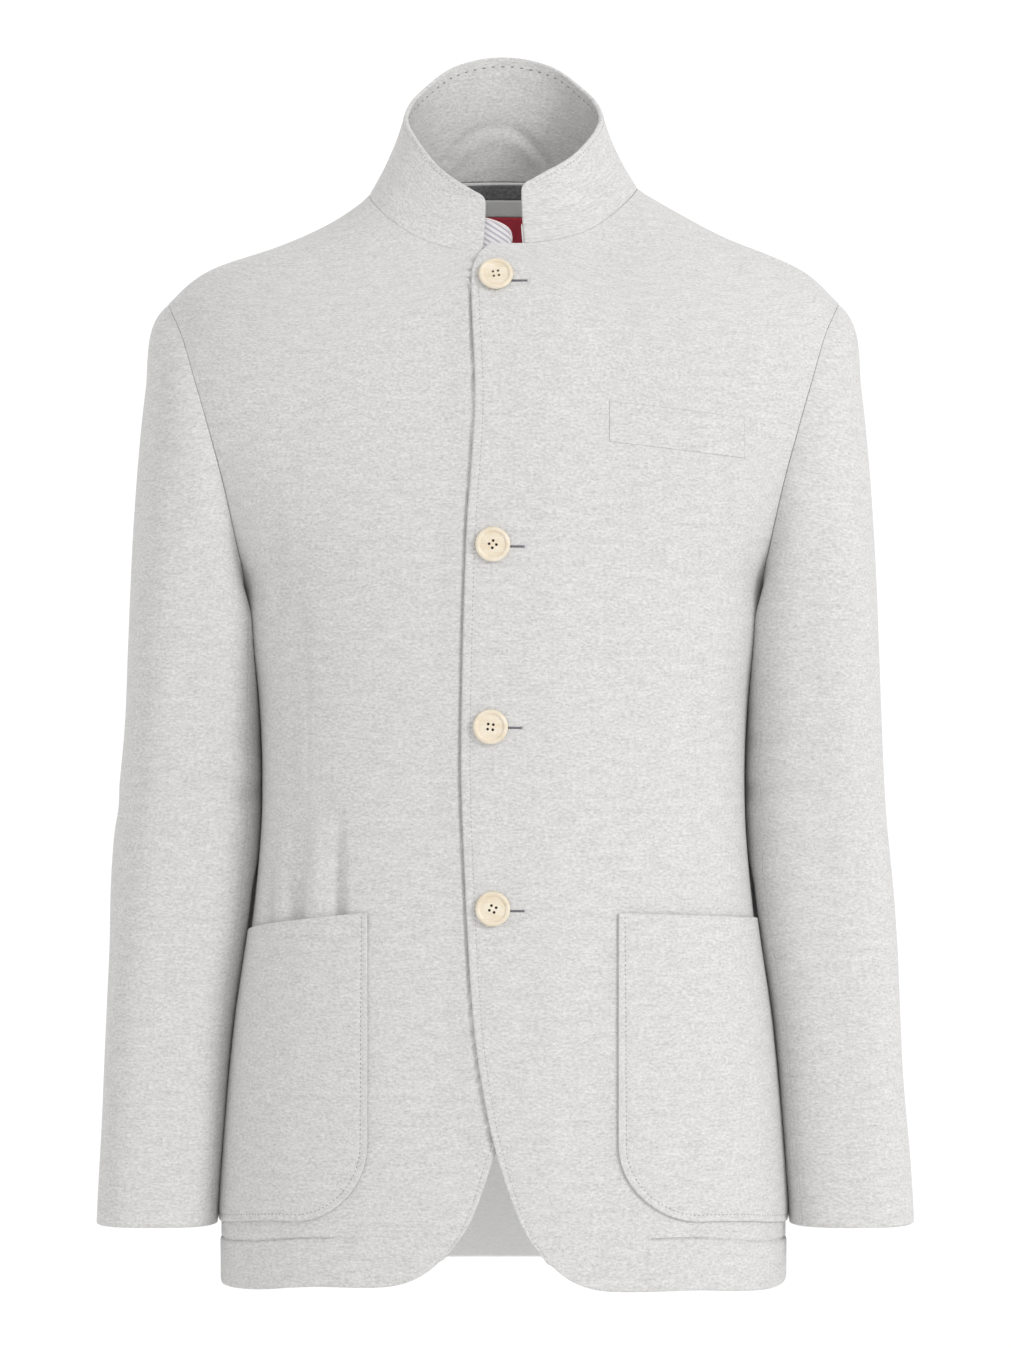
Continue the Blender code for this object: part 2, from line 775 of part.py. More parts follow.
def add_pocket(name, side):
    rows = 9
    places = pocket_columns()

    def surface(angle, height):
        return front_point(angle, height, side)

    points = []
    normals = []
    for row in range(rows):
        t = row / (rows - 1)
        for place in places:
            share = place / POCKET_WIDTH
            mouth = POCKET_MOUTH - POCKET_MOUTH_DROP[side] * share
            height = mix(pocket_bottom(place), mouth, t)
            edge = angle_at(POCKET_FRONT_X - side * CENTRE_SHIFT, height, -1)
            angle = mix(edge, POCKET_SIDE_ANGLE, share)
            normal = body_normal(surface, angle, height)
            gape = POCKET_GAPE * math.sin(math.pi * share) * t ** 3
            points.append(surface(angle, height) + normal * (POCKET_SEAT + POCKET_CLOTH + gape))
            normals.append(normal)
    return add_shell(name, points, normals, grid_faces(rows, len(places)), POCKET_CLOTH, side)


def add_welt():
    rows = 3
    columns = 9

    def surface(angle, height):
        return front_point(angle, height, 1)

    points = []
    normals = []
    for row in range(rows):
        for column in range(columns):
            share = column / (columns - 1)
            height = WELT_TOP - WELT_FALL * share - WELT_HEIGHT * (1 - row / (rows - 1))
            angle = angle_at(mix(WELT_FRONT_X, WELT_END_X, share), height, -1)
            normal = body_normal(surface, angle, height)
            points.append(surface(angle, height) + normal * (POCKET_SEAT + WELT_CLOTH))
            normals.append(normal)
    return add_shell("chest_welt", points, normals, grid_faces(rows, columns), WELT_CLOTH)


def add_trim(row):
    """A thin strip on the inside of the back, under the neck seam."""
    columns = 11
    lines = 4
    points = []
    normals = []
    for line in range(lines):
        level = mix(row.bottom, row.top, line / (lines - 1))
        for column in range(columns):
            across = mix(-row.half_width, row.half_width, column / (columns - 1))
            height = level - (neck_height(0.0) - neck_height(abs(across)))
            angle = angle_at(abs(across), height, 1)
            normal = body_normal(back_point, angle, height)
            point = back_point(angle, height) - normal * (CLOTH + TRIM_SEAT)
            way = Vector((math.copysign(1, across), 1, 1))
            points.append(point * way)
            normals.append(normal * way)
    faces = grid_faces(lines, columns)
    return add_shell(row.name, points, normals, faces, TRIM_CLOTH, colour=row.colour)


def add_lining():
    """The corner of the lining, on the inside of the right front and behind the collar's end."""
    columns = 10
    lines = 5

    def surface(angle, height):
        return front_point(angle, height, -1)

    points = []
    normals = []
    for line in range(lines):
        for column in range(columns):
            across = mix(LINING_ROWS[0].across, LINING_ROWS[-1].across, column / (columns - 1))
            height = mix(LINING_BOTTOM, lining_top(across), line / (lines - 1))
            angle = angle_at(-across, height, -1)
            normal = body_normal(surface, angle, height)
            points.append(surface(angle, height) - normal * LINING_DEPTH)
            normals.append(normal)
    faces = grid_faces(lines, columns)
    return add_shell("neck_lining", points, normals, faces, TRIM_CLOTH, -1, LINING_COLOUR)


def button_mesh():
    """A turned button with a raised rim, a sunk middle and four holes."""
    shape = bmesh.new()
    rings = []
    for row in BUTTON_ROWS:
        ring = []
        for step in range(BUTTON_SIDES):
            turn = 2 * math.pi * step / BUTTON_SIDES
            place = (row.radius * math.cos(turn), row.radius * math.sin(turn), row.height)
            ring.append(shape.verts.new(Vector(place) * MM))
        rings.append(ring)
    for low, high in zip(rings, rings[1:]):
        for step in range(BUTTON_SIDES):
            after = (step + 1) % BUTTON_SIDES
            shape.faces.new((low[step], low[after], high[after], high[step]))
    shape.faces.new(reversed(rings[0]))
    shape.faces.new(rings[-1])
    turned = bpy.data.meshes.new("turned_button")
    shape.to_mesh(turned)
    shape.free()
    holes = bmesh.new()
    for x in (-BUTTON_HOLE_OFFSET, BUTTON_HOLE_OFFSET):
        for y in (-BUTTON_HOLE_OFFSET, BUTTON_HOLE_OFFSET):
            bmesh.ops.create_cone(
                holes, cap_ends=True, segments=BUTTON_HOLE_SIDES,
                radius1=BUTTON_HOLE_RADIUS * MM, radius2=BUTTON_HOLE_RADIUS * MM,
                depth=12 * MM, matrix=Matrix.Translation(Vector((x, y, 0)) * MM),
            )
    drill = bpy.data.meshes.new("button_holes")
    holes.to_mesh(drill)
    holes.free()
    blank = bpy.data.objects.new("button_blank", turned)
    cutter = bpy.data.objects.new("button_drill", drill)
    for item in (blank, cutter):
        bpy.context.scene.collection.objects.link(item)
    cut = blank.modifiers.new("holes", "BOOLEAN")
    cut.operation = "DIFFERENCE"
    cut.object = cutter
    bpy.context.view_layer.update()
    drilled = blank.evaluated_get(bpy.context.evaluated_depsgraph_get())
    mesh = bpy.data.meshes.new_from_object(drilled)
    bpy.data.objects.remove(blank)
    bpy.data.objects.remove(cutter)
    return mesh


def add_buttons():
    def surface(angle, height):
        return front_point(angle, height, 1)

    mesh = button_mesh()
    for number, (across, height) in enumerate(BUTTON_PLACES, 1):
        angle = angle_at(across, height, -1)
        normal = body_normal(surface, angle, height)
        button = add_object(
            "button_" + str(number), mesh.copy(), BUTTON_COLOUR, BUTTON_ROUGHNESS
        )
        turn = normal.to_track_quat("Z", "Y").to_matrix().to_4x4()
        place = surface(angle, height) + normal * BUTTON_SEAT
        button.matrix_world = Matrix.Translation(place * MM) @ turn


def main():
    for item in list(bpy.data.objects):
        bpy.data.objects.remove(item)
    for word, side in (("left", 1), ("right", -1)):
        add_front("front_" + word, side)
        add_sleeve(word, side)
        add_pocket("patch_pocket_" + word, side)
    add_back()
    add_collar()
    add_welt()
    for row in TRIM_ROWS:
        add_trim(row)
    add_lining()
    add_buttons()


main()
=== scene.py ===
"""Blazer coat: how it looks.

Each cloth piece is a thin shell with rolled edges on the form of its solid, with finer folds.
Sizes are in millimetres and become metres when a mesh is made.
+Z is up, the front faces -Y and +X is the wearer's left.
"""
import math
from collections import namedtuple

import bmesh
import bpy
import numpy as np
from mathutils import Matrix, Vector


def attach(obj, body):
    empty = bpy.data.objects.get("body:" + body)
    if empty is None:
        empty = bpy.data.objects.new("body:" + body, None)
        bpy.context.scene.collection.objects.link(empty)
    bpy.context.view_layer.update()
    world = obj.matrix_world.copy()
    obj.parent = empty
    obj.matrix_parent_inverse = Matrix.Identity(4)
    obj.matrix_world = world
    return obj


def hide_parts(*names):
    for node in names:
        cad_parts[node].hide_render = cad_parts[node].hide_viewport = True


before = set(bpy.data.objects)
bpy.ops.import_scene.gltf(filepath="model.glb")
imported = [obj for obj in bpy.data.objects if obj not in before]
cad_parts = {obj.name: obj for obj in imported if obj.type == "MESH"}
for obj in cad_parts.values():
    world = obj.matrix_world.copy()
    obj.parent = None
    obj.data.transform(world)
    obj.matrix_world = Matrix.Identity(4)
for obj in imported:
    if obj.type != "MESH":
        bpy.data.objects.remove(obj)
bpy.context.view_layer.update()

MM = 0.001

# Cloth and seams
CLOTH = 2.2
COLLAR_CLOTH = 3.0
POCKET_CLOTH = 2.0
WELT_CLOTH = 0.4
TRIM_CLOTH = 1.0
SEAM_GAP = 0.06
POCKET_SEAT = 0.5
TRIM_SEAT = 0.6
LAP_LIFT = 3.9
LAP_FULL_X = 26.0
LAP_END_X = 80.0

# Body sections: half width, depth to the front and back, and where the side is widest
BodyRow = namedtuple("BodyRow", "height half_width front back widest")
BODY_ROWS = [
    BodyRow(-730, 191.0, 127, 116, -8),
    BodyRow(-670, 190.5, 129, 121, -8),
    BodyRow(-560, 180.5, 127, 116, -9),
    BodyRow(-480, 169.0, 124, 104, -10),
    BodyRow(-411, 163.5, 122, 96, -10),
    BodyRow(-340, 166.0, 124, 103, -7),
    BodyRow(-275, 177.0, 126, 112, 0),
    BodyRow(-200, 177.0, 124, 118, 0),
    BodyRow(-130, 177.0, 115, 115, 0),
    BodyRow(-71, 177.0, 101, 103, 0),
    BodyRow(-38, 177.0, 86, 86, 3),
    BodyRow(4, 177.0, 72, 67, 6),
    BodyRow(17, 177.0, 66, 62, 8),
]
FRONT_ROUND = 2.4
BACK_ROUND = 2.3
HEM = -730.0

# Armhole: an ellipse seen from the side, its width across the body by height
ARM_TOP = -71.0
ARM_BOTTOM = -275.0
ARM_FRONT = 77.0
ARM_BACK = 74.0
ARM_BACK_WIDER = 4.0
ArmRow = namedtuple("ArmRow", "height across")
ARM_ROWS = [
    ArmRow(-275, 177.0),
    ArmRow(-258, 174.5),
    ArmRow(-238, 178.0),
    ArmRow(-197, 186.5),
    ArmRow(-156, 197.5),
    ArmRow(-129, 205.5),
    ArmRow(-94, 216.5),
    ArmRow(-71, 227.5),
]

# Shoulder seam, from the neck to the shoulder tip
ShoulderRow = namedtuple("ShoulderRow", "across height")
SHOULDER_ROWS = [
    ShoulderRow(91.0, 4),
    ShoulderRow(99.0, -3),
    ShoulderRow(122.0, -17),
    ShoulderRow(154.0, -31),
    ShoulderRow(192.0, -44),
    ShoulderRow(210.0, -54),
    ShoulderRow(227.5, -71),
]

# The shoulders aren't level: how far each place across is raised beside the neck
LeanRow = namedtuple("LeanRow", "across rise")
LEAN_ROWS = [
    LeanRow(-240, 0.0),
    LeanRow(-200, -1.2),
    LeanRow(-150, -1.8),
    LeanRow(-110, -1.5),
    LeanRow(-85, -0.4),
    LeanRow(-60, 0.0),
    LeanRow(55, 0.0),
    LeanRow(85, 3.0),
    LeanRow(102, 5.2),
    LeanRow(118, 5.8),
    LeanRow(133, 4.7),
    LeanRow(150, 3.3),
    LeanRow(170, 2.2),
    LeanRow(190, 0.9),
    LeanRow(220, 0.0),
]
LEAN_FADE = (-150.0, -50.0)

# Neck seam on the front and on the back, as a share of the way to the shoulder
NeckRow = namedtuple("NeckRow", "share across height")
NECK_FRONT_ROWS = [
    NeckRow(0.00, -11.0, -38.0),
    NeckRow(0.20, 21.0, -38.0),
    NeckRow(0.40, 52.0, -31.0),
    NeckRow(0.58, 73.0, -18.5),
    NeckRow(0.75, 85.0, -7.0),
    NeckRow(0.88, 90.0, 0.0),
    NeckRow(1.00, 91.0, 4.0),
]
NECK_BACK_ROWS = [
    NeckRow(-0.25, -35.0, 15.8),
    NeckRow(0.00, 0.0, 17.0),
    NeckRow(0.25, 35.0, 15.8),
    NeckRow(0.50, 64.0, 12.5),
    NeckRow(0.75, 84.0, 8.0),
    NeckRow(1.00, 91.0, 4.0),
]

# Front edge of the lapping front, from the neck down into the rounded corner
EdgeRow = namedtuple("EdgeRow", "height across")
EDGE_ROWS = [
    EdgeRow(-708, 27.0),
    EdgeRow(-688, 13.0),
    EdgeRow(-649, -1.5),
    EdgeRow(-609, -11.5),
    EdgeRow(-550, -20.0),
    EdgeRow(-431, -26.7),
    EdgeRow(-372, -28.0),
    EdgeRow(-234, -24.7),
    EdgeRow(-141, -19.0),
    EdgeRow(-56, -21.4),
    EdgeRow(-44, -18.0),
    EdgeRow(-34.8, -11.0),
]
HemRow = namedtuple("HemRow", "across height")
HEM_ROWS = [
    HemRow(27.0, -708),
    HemRow(43.0, -721),
    HemRow(58.0, -727.5),
    HemRow(76.0, -730),
    HemRow(130.0, -730.5),
    HemRow(160.0, -732.5),
    HemRow(178.0, -733.5),
    HemRow(187.0, -732.5),
    HemRow(192.0, -730),
]
UNDERLAP_SHIFT = 10.0
UNDER_HEM_RISE = 2.6
UNDER_HEM_FADE = (110.0, 175.0)
UNDER_NECK_START = 0.03
NECK_TILT = 3.2

# Sleeve sections below the sleeve head
SleeveRow = namedtuple("SleeveRow", "height across depth half_width half_depth")
SLEEVE_ROWS = [
    SleeveRow(-693, 234.0, -18, 41.0, 47),
    SleeveRow(-640, 230.5, -12, 42.5, 50),
    SleeveRow(-560, 225.5, -2, 44.5, 55),
    SleeveRow(-480, 217.0, 8, 49.0, 61),
    SleeveRow(-411, 211.0, 14, 49.0, 66),
    SleeveRow(-350, 210.0, 12, 47.0, 72),
    SleeveRow(-290, 208.0, 8, 46.5, 78),
]
SLEEVE_TOP = -290.0
CUFF = -693.0
SLEEVE_SQUARE = 2.8
SLEEVE_CLEAR = 0.3
POCKET_CLEAR = 2.4
POCKET_CLEAR_TOP = -440.0
POCKET_CLEAR_FULL = -470.0
FOREARM_SEAM = -137.0
HINDARM_SEAM = 120.0

# Sleeve head: the way the cloth leaves the armhole, at its bottom and more at its top, and how
# far it keeps that way and the sleeve's own, as shares of the head's length
HEAD_OUT = (0.10, 0.75)
HEAD_ROUND = 0.28
HEAD_LEVEL = 0.3
HEAD_KEEPS = (0.30, 0.20)
HEAD_LANDS = 0.35
HEAD_BELOW = 10.0

# Soft folds where the sleeves bend, on the inside of the elbow
FoldRow = namedtuple("FoldRow", "height around half_height half_around depth")
SLEEVE_FOLDS = [
    FoldRow(-368, -118, 11, 46, 1.6),
    FoldRow(-402, -126, 13, 52, 2.4),
    FoldRow(-440, -112, 12, 44, 1.8),
    FoldRow(-330, 96, 15, 48, 1.5),
]

# Soft folds on the fronts: the waist dart, and slack cloth above the pocket mouths
FRONT_FOLDS = [
    FoldRow(-380, 133, 130, 5, 0.9),
    FoldRow(-462, 112, 24, 9, 1.5),
    FoldRow(-458, 139, 30, 8, 1.3),
]

# Collar top edge, by the angle from the centre front
COLLAR_HALF_WIDTH = 67.0
COLLAR_HALF_DEPTH = 74.0
COLLAR_MIDDLE = -6.0
COLLAR_LIFT = 0.06
COLLAR_INSET = 0.12
COLLAR_BASE_END = 1.845
COLLAR_TOP_END = 1.885
COLLAR_TILT = 4.0
COLLAR_TILT_FADE = (20.0, 70.0)
COLLAR_BOW = 2.0
COLLAR_BOW_FADE = (25.0, 70.0)
COLLAR_LAP_FADE = (60.0, 90.0)
CollarRow = namedtuple("CollarRow", "angle height")
COLLAR_ROWS = [
    CollarRow(0, -4),
    CollarRow(12, 1.5),
    CollarRow(26, 10.5),
    CollarRow(40, 20),
    CollarRow(62, 39),
    CollarRow(78, 50),
    CollarRow(90, 56.5),
    CollarRow(125, 80),
    CollarRow(150, 97),
    CollarRow(180, 104),
    CollarRow(210, 97),
]

# Patch pockets, on both fronts
POCKET_FRONT_X = 82.5
CENTRE_SHIFT = 7.0
POCKET_SIDE_ANGLE = 86.0
POCKET_WIDTH = 165.0
POCKET_BOTTOM = -685.0
POCKET_FRONT_CORNER = 52.0
POCKET_SIDE_CORNER = 14.0
POCKET_SIDE_DROP = 6.0
POCKET_MOUTH = -480.0
POCKET_MOUTH_DROP = {1: 7.0, -1: 15.0}
POCKET_GAPE = 1.6
POCKET_STITCH = 4.5
POCKET_TROUGH = 0.45

# Chest welt on the lapping front, from its front end to its armhole end
WELT_FRONT_X = 70.0
WELT_END_X = 160.0
WELT_TOP = -142.0
WELT_HEIGHT = 27.0
WELT_FALL = 10.0
WELT_SEAT = 0.06
WELT_FLUSH = 0.94
WELT_SHOWS = (0.35, 0.6)

# Buttons
ButtonPlace = namedtuple("ButtonPlace", "across height hole_drop turn")
BUTTON_PLACES = [
    ButtonPlace(-5.0, -58.0, 3.2, 10.0),
    ButtonPlace(-7.0, -237.0, 1.4, 38.0),
    ButtonPlace(-8.5, -357.0, 0.8, -7.0),
    ButtonPlace(-7.0, -477.0, 1.4, -24.0),
]
BUTTON_SEAT = 0.6
BUTTON_SIDES = 72
BUTTON_HOLE_RADIUS = 0.95
BUTTON_HOLE_OFFSET = 1.7
BUTTON_HOLE_SIDES = 16
ButtonRow = namedtuple("ButtonRow", "radius height")
BUTTON_ROWS = [
    ButtonRow(9.4, 0.0),
    ButtonRow(10.5, 0.35),
    ButtonRow(11.2, 0.95),
    ButtonRow(11.5, 1.75),
    ButtonRow(11.4, 2.5),
    ButtonRow(10.9, 3.15),
    ButtonRow(10.2, 3.45),
    ButtonRow(9.5, 3.45),
    ButtonRow(8.95, 3.25),
    ButtonRow(8.6, 2.8),
    ButtonRow(8.35, 2.4),
    ButtonRow(7.9, 2.3),
    ButtonRow(7.3, 2.42),
    ButtonRow(6.6, 2.5),
    ButtonRow(6.2, 2.44),
    ButtonRow(5.8, 2.52),
    ButtonRow(5.4, 2.46),
    ButtonRow(4.9, 2.52),
    ButtonRow(3.2, 2.5),
]

# What shows inside the back neck: half width, top and bottom heights
TrimRow = namedtuple("TrimRow", "name half_width top bottom")
TRIM_ROWS = [
    TrimRow("tape", 52, 16.4, 6.8),
    TrimRow("facing", 58, 6.4, -4.6),
    TrimRow("label", 44, -5.0, -44.0),
]

# Corner of the lining that shows in the neck gap, inside the right front: its rounded top edge
LiningRow = namedtuple("LiningRow", "across top")
LINING_ROWS = [
    LiningRow(-16.0, -16.0),
    LiningRow(-10.0, -17.4),
    LiningRow(-3.0, -19.8),
    LiningRow(3.0, -23.4),
    LiningRow(5.0, -27.0),
    LiningRow(5.8, -32.0),
]
LINING_BOTTOM = -62.0
LINING_DEPTH = 4.2


class Curve:
    """A smooth curve through a table: the first column is the key, the rest are values."""

    def __init__(self, rows):
        ordered = sorted(rows)
        self.keys = [row[0] for row in ordered]
        self.values = [row[1:] for row in ordered]

    def slope(self, index, column):
        low = max(index - 1, 0)
        high = min(index + 1, len(self.keys) - 1)
        rise = self.values[high][column] - self.values[low][column]
        return rise / (self.keys[high] - self.keys[low])

    def __call__(self, key):
        key = min(max(key, self.keys[0]), self.keys[-1])
        index = 0
        while index < len(self.keys) - 2 and key > self.keys[index + 1]:
            index += 1
        span = self.keys[index + 1] - self.keys[index]
        t = (key - self.keys[index]) / span
        found = []
        for column in range(len(self.values[0])):
            start = self.values[index][column]
            end = self.values[index + 1][column]
            out = self.slope(index, column) * span
            into = self.slope(index + 1, column) * span
            found.append(
                start * (2 * t ** 3 - 3 * t ** 2 + 1) + out * (t ** 3 - 2 * t ** 2 + t)
                + end * (3 * t ** 2 - 2 * t ** 3) + into * (t ** 3 - t ** 2)
            )
        return found if len(found) > 1 else found[0]


body_curve = Curve(BODY_ROWS)
arm_curve = Curve(ARM_ROWS)
shoulder_height = Curve(SHOULDER_ROWS)
shoulder_across = Curve([(row.height, row.across) for row in SHOULDER_ROWS])
neck_front = Curve(NECK_FRONT_ROWS)
neck_back = Curve(NECK_BACK_ROWS)
neck_height = Curve([(row.across, row.height) for row in NECK_BACK_ROWS])
edge_curve = Curve(EDGE_ROWS)
hem_curve = Curve(HEM_ROWS)
lean_curve = Curve(LEAN_ROWS)
sleeve_curve = Curve(SLEEVE_ROWS)
collar_curve = Curve(COLLAR_ROWS)
lining_top = Curve(LINING_ROWS)


def mix(start, end, t):
    return start + (end - start) * t


def ease(low, high, value):
    """0 at low, 1 at high, smooth between; also for arrays."""
    t = np.clip((value - low) / (high - low), 0.0, 1.0)
    return t * t * (3 - 2 * t)


def bump(value, centre, half_width):
    """A soft hump of height 1 that fades to 0 at one half width; also for arrays."""
    t = np.minimum(np.abs(value - centre) / half_width, 1.0)
    return (1 - t * t) ** 2


def arm_angle(height):
    """Angle round the armhole from its top, for a height on it."""
    middle = (ARM_TOP + ARM_BOTTOM) / 2
    half = (ARM_TOP - ARM_BOTTOM) / 2
    return math.acos(min(max((height - middle) / half, -1.0), 1.0))


def arm_point(angle):
    """Point on the armhole: 0 at the shoulder tip, negative to the front, in radians."""
    middle = (ARM_TOP + ARM_BOTTOM) / 2
    half = (ARM_TOP - ARM_BOTTOM) / 2
    height = middle + half * math.cos(angle)
    wider = ARM_BACK_WIDER * max(math.sin(angle), 0.0) ** 2
    reach = ARM_BACK if angle > 0 else ARM_FRONT
    return Vector((arm_curve(height) + wider, reach * math.sin(angle), height))


def section(height, facing):
    """Half width, depth, widest place and roundness of the front (-1) or back (1) there."""
    half_width, front, back, widest = body_curve(height)
    depth = widest + front if facing < 0 else back - widest
    power = FRONT_ROUND if facing < 0 else BACK_ROUND
    if height >= ARM_TOP:
        half_width = shoulder_across(height)
    elif height > ARM_BOTTOM:
        seam = arm_point(facing * arm_angle(height))
        share = min(abs(seam.y - widest) / depth, 0.99)
        half_width = seam.x / (1 - share ** power) ** (1 / power)
    return half_width, depth, widest, power


def fold_depth(folds, height, around):
    total = 0.0
    for fold in folds:
        along = bump(height, fold.height, fold.half_height)
        total += fold.depth * along * bump(around, fold.around, fold.half_around)
    return total


def body_point(angle, height, facing):
    """Point on the +X half of the body: angle 0 at the centre, 90 degrees at the side."""
    half_width, depth, widest, power = section(height, facing)
    turn = math.sin(math.radians(angle))
    reach = max(1 - abs(turn) ** power, 0.0) ** (1 / power)
    out = widest + facing * (SEAM_GAP / 2 + depth * reach)
    return Vector((half_width * turn, out, height))


def front_point(angle, height, side):
    """Front of the +X half, lifted near the edge where it laps, with its soft folds."""
    point = body_point(angle, height, -1)
    if side > 0:
        point.y -= LAP_LIFT * (1 - ease(LAP_FULL_X, LAP_END_X, point.x))
    point.y += fold_depth(FRONT_FOLDS, height, point.x + side * CENTRE_SHIFT)
    return point


def back_point(angle, height):
    return body_point(angle, height, 1)


def angle_at(across, height, facing):
    """Body angle where the surface is that far across."""
    half_width = section(height, facing)[0]
    return math.degrees(math.asin(min(max(across / half_width, -1.0), 1.0)))


def body_normal(surface, angle, height):
    outward = surface(angle, height) - Vector((0, 0, height))
    step = 0.5 if angle > 0 else -0.5
    around = surface(angle, height) - surface(angle - step, height)
    up = surface(angle, height + 1.0) - surface(angle, height - 1.0)
    normal = around.cross(up).normalized()
    return normal if normal.dot(outward) >= 0 else -normal


def body_side(depth, height):
    """How far the body reaches across at that depth, for the sleeve to clear."""
    facing = -1 if depth < section(height, 1)[2] else 1
    half_width, reach, widest, power = section(height, facing)
    share = min(abs(depth - widest) / reach, 1.0)
    return half_width * (1 - share ** power) ** (1 / power)


def clear_of_body(point):
    if point.z < ARM_BOTTOM:
        pocket = 1 - ease(POCKET_CLEAR_FULL, POCKET_CLEAR_TOP, point.z)
        clear = body_side(point.y, point.z) + SLEEVE_CLEAR + POCKET_CLEAR * pocket
        below = ease(ARM_BOTTOM, SLEEVE_TOP, point.z)
        point.x = max(point.x, mix(point.x, clear, below))
    return point


def sleeve_ring(angle, height):
    """Point on the sleeve below its head: angle 0 outside, negative to the front."""
    across, depth, half_width, half_depth = sleeve_curve(height)
    dent = fold_depth(SLEEVE_FOLDS, height, angle if angle < 180 else angle - 360)
    turn = math.radians(angle)
    cosine = math.cos(turn)
    sine = math.sin(turn)
    far = (abs(cosine) ** SLEEVE_SQUARE + abs(sine) ** SLEEVE_SQUARE) ** (-1 / SLEEVE_SQUARE)
    x = across + (half_width - dent) * far * cosine
    y = depth + (half_depth - dent) * far * sine
    return clear_of_body(Vector((x, y, height)))


def sleeve_point(angle, level):
    """Point on the +X sleeve: level 0 at the armhole, 1 below the head, 2 at the cuff."""
    if level >= 1:
        return sleeve_ring(angle, mix(SLEEVE_TOP, CUFF, level - 1))
    turn = math.radians(angle)
    start = arm_point(turn)
    start.x += SEAM_GAP
    end = sleeve_ring(angle, SLEEVE_TOP)
    below = sleeve_ring(angle, SLEEVE_TOP - HEAD_BELOW)
    top = (1 + math.cos(turn)) / 2
    out = HEAD_OUT[0] + HEAD_OUT[1] * top
    leave = Vector((out, HEAD_ROUND * math.sin(turn), HEAD_LEVEL * top - 1)).normalized()
    length = (end - start).length
    near = start + leave * length * (HEAD_KEEPS[0] - HEAD_KEEPS[1] * top)
    far = end - (below - end).normalized() * length * HEAD_LANDS
    t = level
    point = start * (1 - t) ** 3 + near * 3 * t * (1 - t) ** 2
    point = point + far * 3 * t * t * (1 - t) + end * t ** 3
    return clear_of_body(point)


def neck_line(share, side):
    """Front neck seam, by the share of the way to the shoulder: a little higher where it laps."""
    across, height = neck_front(share)
    return across, height + side * NECK_TILT * (1 - share ** 2)


def neck_point(place):
    """Neck seam: 0 at the centre back, 1 at the shoulder, 2 at the centre front, +X side first."""
    way = abs(place)
    side = 1 if place >= 0 else -1
    if way <= 1:
        across, height = neck_back(way)
        point = back_point(angle_at(across, height, 1), height)
    else:
        across, height = neck_line(2 - way, side)
        point = front_point(angle_at(across, height, -1), height, side)
    point.x *= side
    return point


def collar_point(place, up):
    """Point on the collar: place along it as on the neck seam, up from 0 to 1."""
    reach = mix(COLLAR_BASE_END, COLLAR_TOP_END, up)
    base = neck_point(place * reach)
    angle = 180 - 90 * abs(place) * reach
    turn = math.radians(angle)
    top = Vector((
        math.copysign(COLLAR_HALF_WIDTH * math.sin(turn), place),
        COLLAR_MIDDLE - COLLAR_HALF_DEPTH * math.cos(turn),
        collar_curve(angle),
    ))
    if place > 0:
        lapped = 1 - ease(LAP_FULL_X, LAP_END_X, top.x)
        top.y -= LAP_LIFT * lapped * (1 - ease(*COLLAR_LAP_FADE, angle))
    tilt = 1 - ease(*COLLAR_TILT_FADE, angle)
    top.z += math.copysign(COLLAR_TILT * tilt, place)
    inward = Vector((-base.x, COLLAR_MIDDLE - base.y, 0)).normalized()
    seat = base + (top - base).normalized() * COLLAR_LIFT + inward * COLLAR_INSET
    bow = COLLAR_BOW * math.sin(math.pi * up) * ease(*COLLAR_BOW_FADE, angle)
    return seat.lerp(top, up) + inward * bow


# Grids and rolled edges
EDGE_STEP = 0.3
STEP_GROWTH = 0.28
FREE = 0.5
SEWN = 0.12
FREE_ROLL = 1.3
SEAM_ROLL = 0.9
EDGE_SHARE = 8 / 18
CENTRE_BACK_TOP = NECK_BACK_ROWS[1].height
BACK_NECK_SHARE = 0.42


def graded(length, coarse, fine_places):
    """Shares of a length from 0 to 1, closer together near the fine places (place, step)."""
    places = [0.0]
    while places[-1] < length:
        steps = [fine + STEP_GROWTH * abs(places[-1] - place) for place, fine in fine_places]
        places.append(places[-1] + min(coarse, *steps))
    return [place / places[-1] for place in places]


def both_ends(length, coarse):
    return graded(length, coarse, [(0.0, EDGE_STEP), (length, EDGE_STEP)])


class Cloth:
    """One piece of cloth as a grid of points on its outer face, in the +X half."""

    def __init__(self, rows, thickness, outward, side=1):
        self.points = np.array([[tuple(point) for point in row] for row in rows], float)
        self.thickness = thickness
        self.outward = np.array(outward, float)
        self.side = side
        self.update()

    def update(self):
        along = np.gradient(self.points, axis=0)
        across = np.gradient(self.points, axis=1)
        normals = np.cross(across, along)
        normals /= np.maximum(np.linalg.norm(normals, axis=2, keepdims=True), 1e-9)
        away = self.points * self.outward[:3] + self.outward[3:]
        self.flipped = bool((normals * away).sum() < 0)
        self.normals = -normals if self.flipped else normals

    def press(self, relief):
        """Moves the outer face along its normals by that many millimetres."""
        self.points = self.points + self.normals * relief[..., None]
        self.update()

    def distances(self):
        """Distance of each point from the first and last column and the first and last row."""
        found = []
        for axis in (1, 0):
            steps = np.linalg.norm(np.diff(self.points, axis=axis), axis=2)
            start = np.zeros_like(np.take(steps, [0], axis=axis))
            run = np.concatenate([start, np.cumsum(steps, axis=axis)], axis=axis)
            found.append(run)
            found.append(np.take(run, [-1], axis=axis) - run)
        return found

    def flat_size(self):
        """Width, length and area of the cut, in metres."""
        first, _, low, _ = self.distances()
        width = float(first[:, -1].max())
        length = float(low[-1, :].max())
        one = np.cross(self.points[1:, 1:] - self.points[:-1, :-1],
                       self.points[1:, :-1] - self.points[:-1, 1:])
        area = float(np.linalg.norm(one, axis=2).sum() / 2)
        return width * MM, length * MM, area * MM * MM


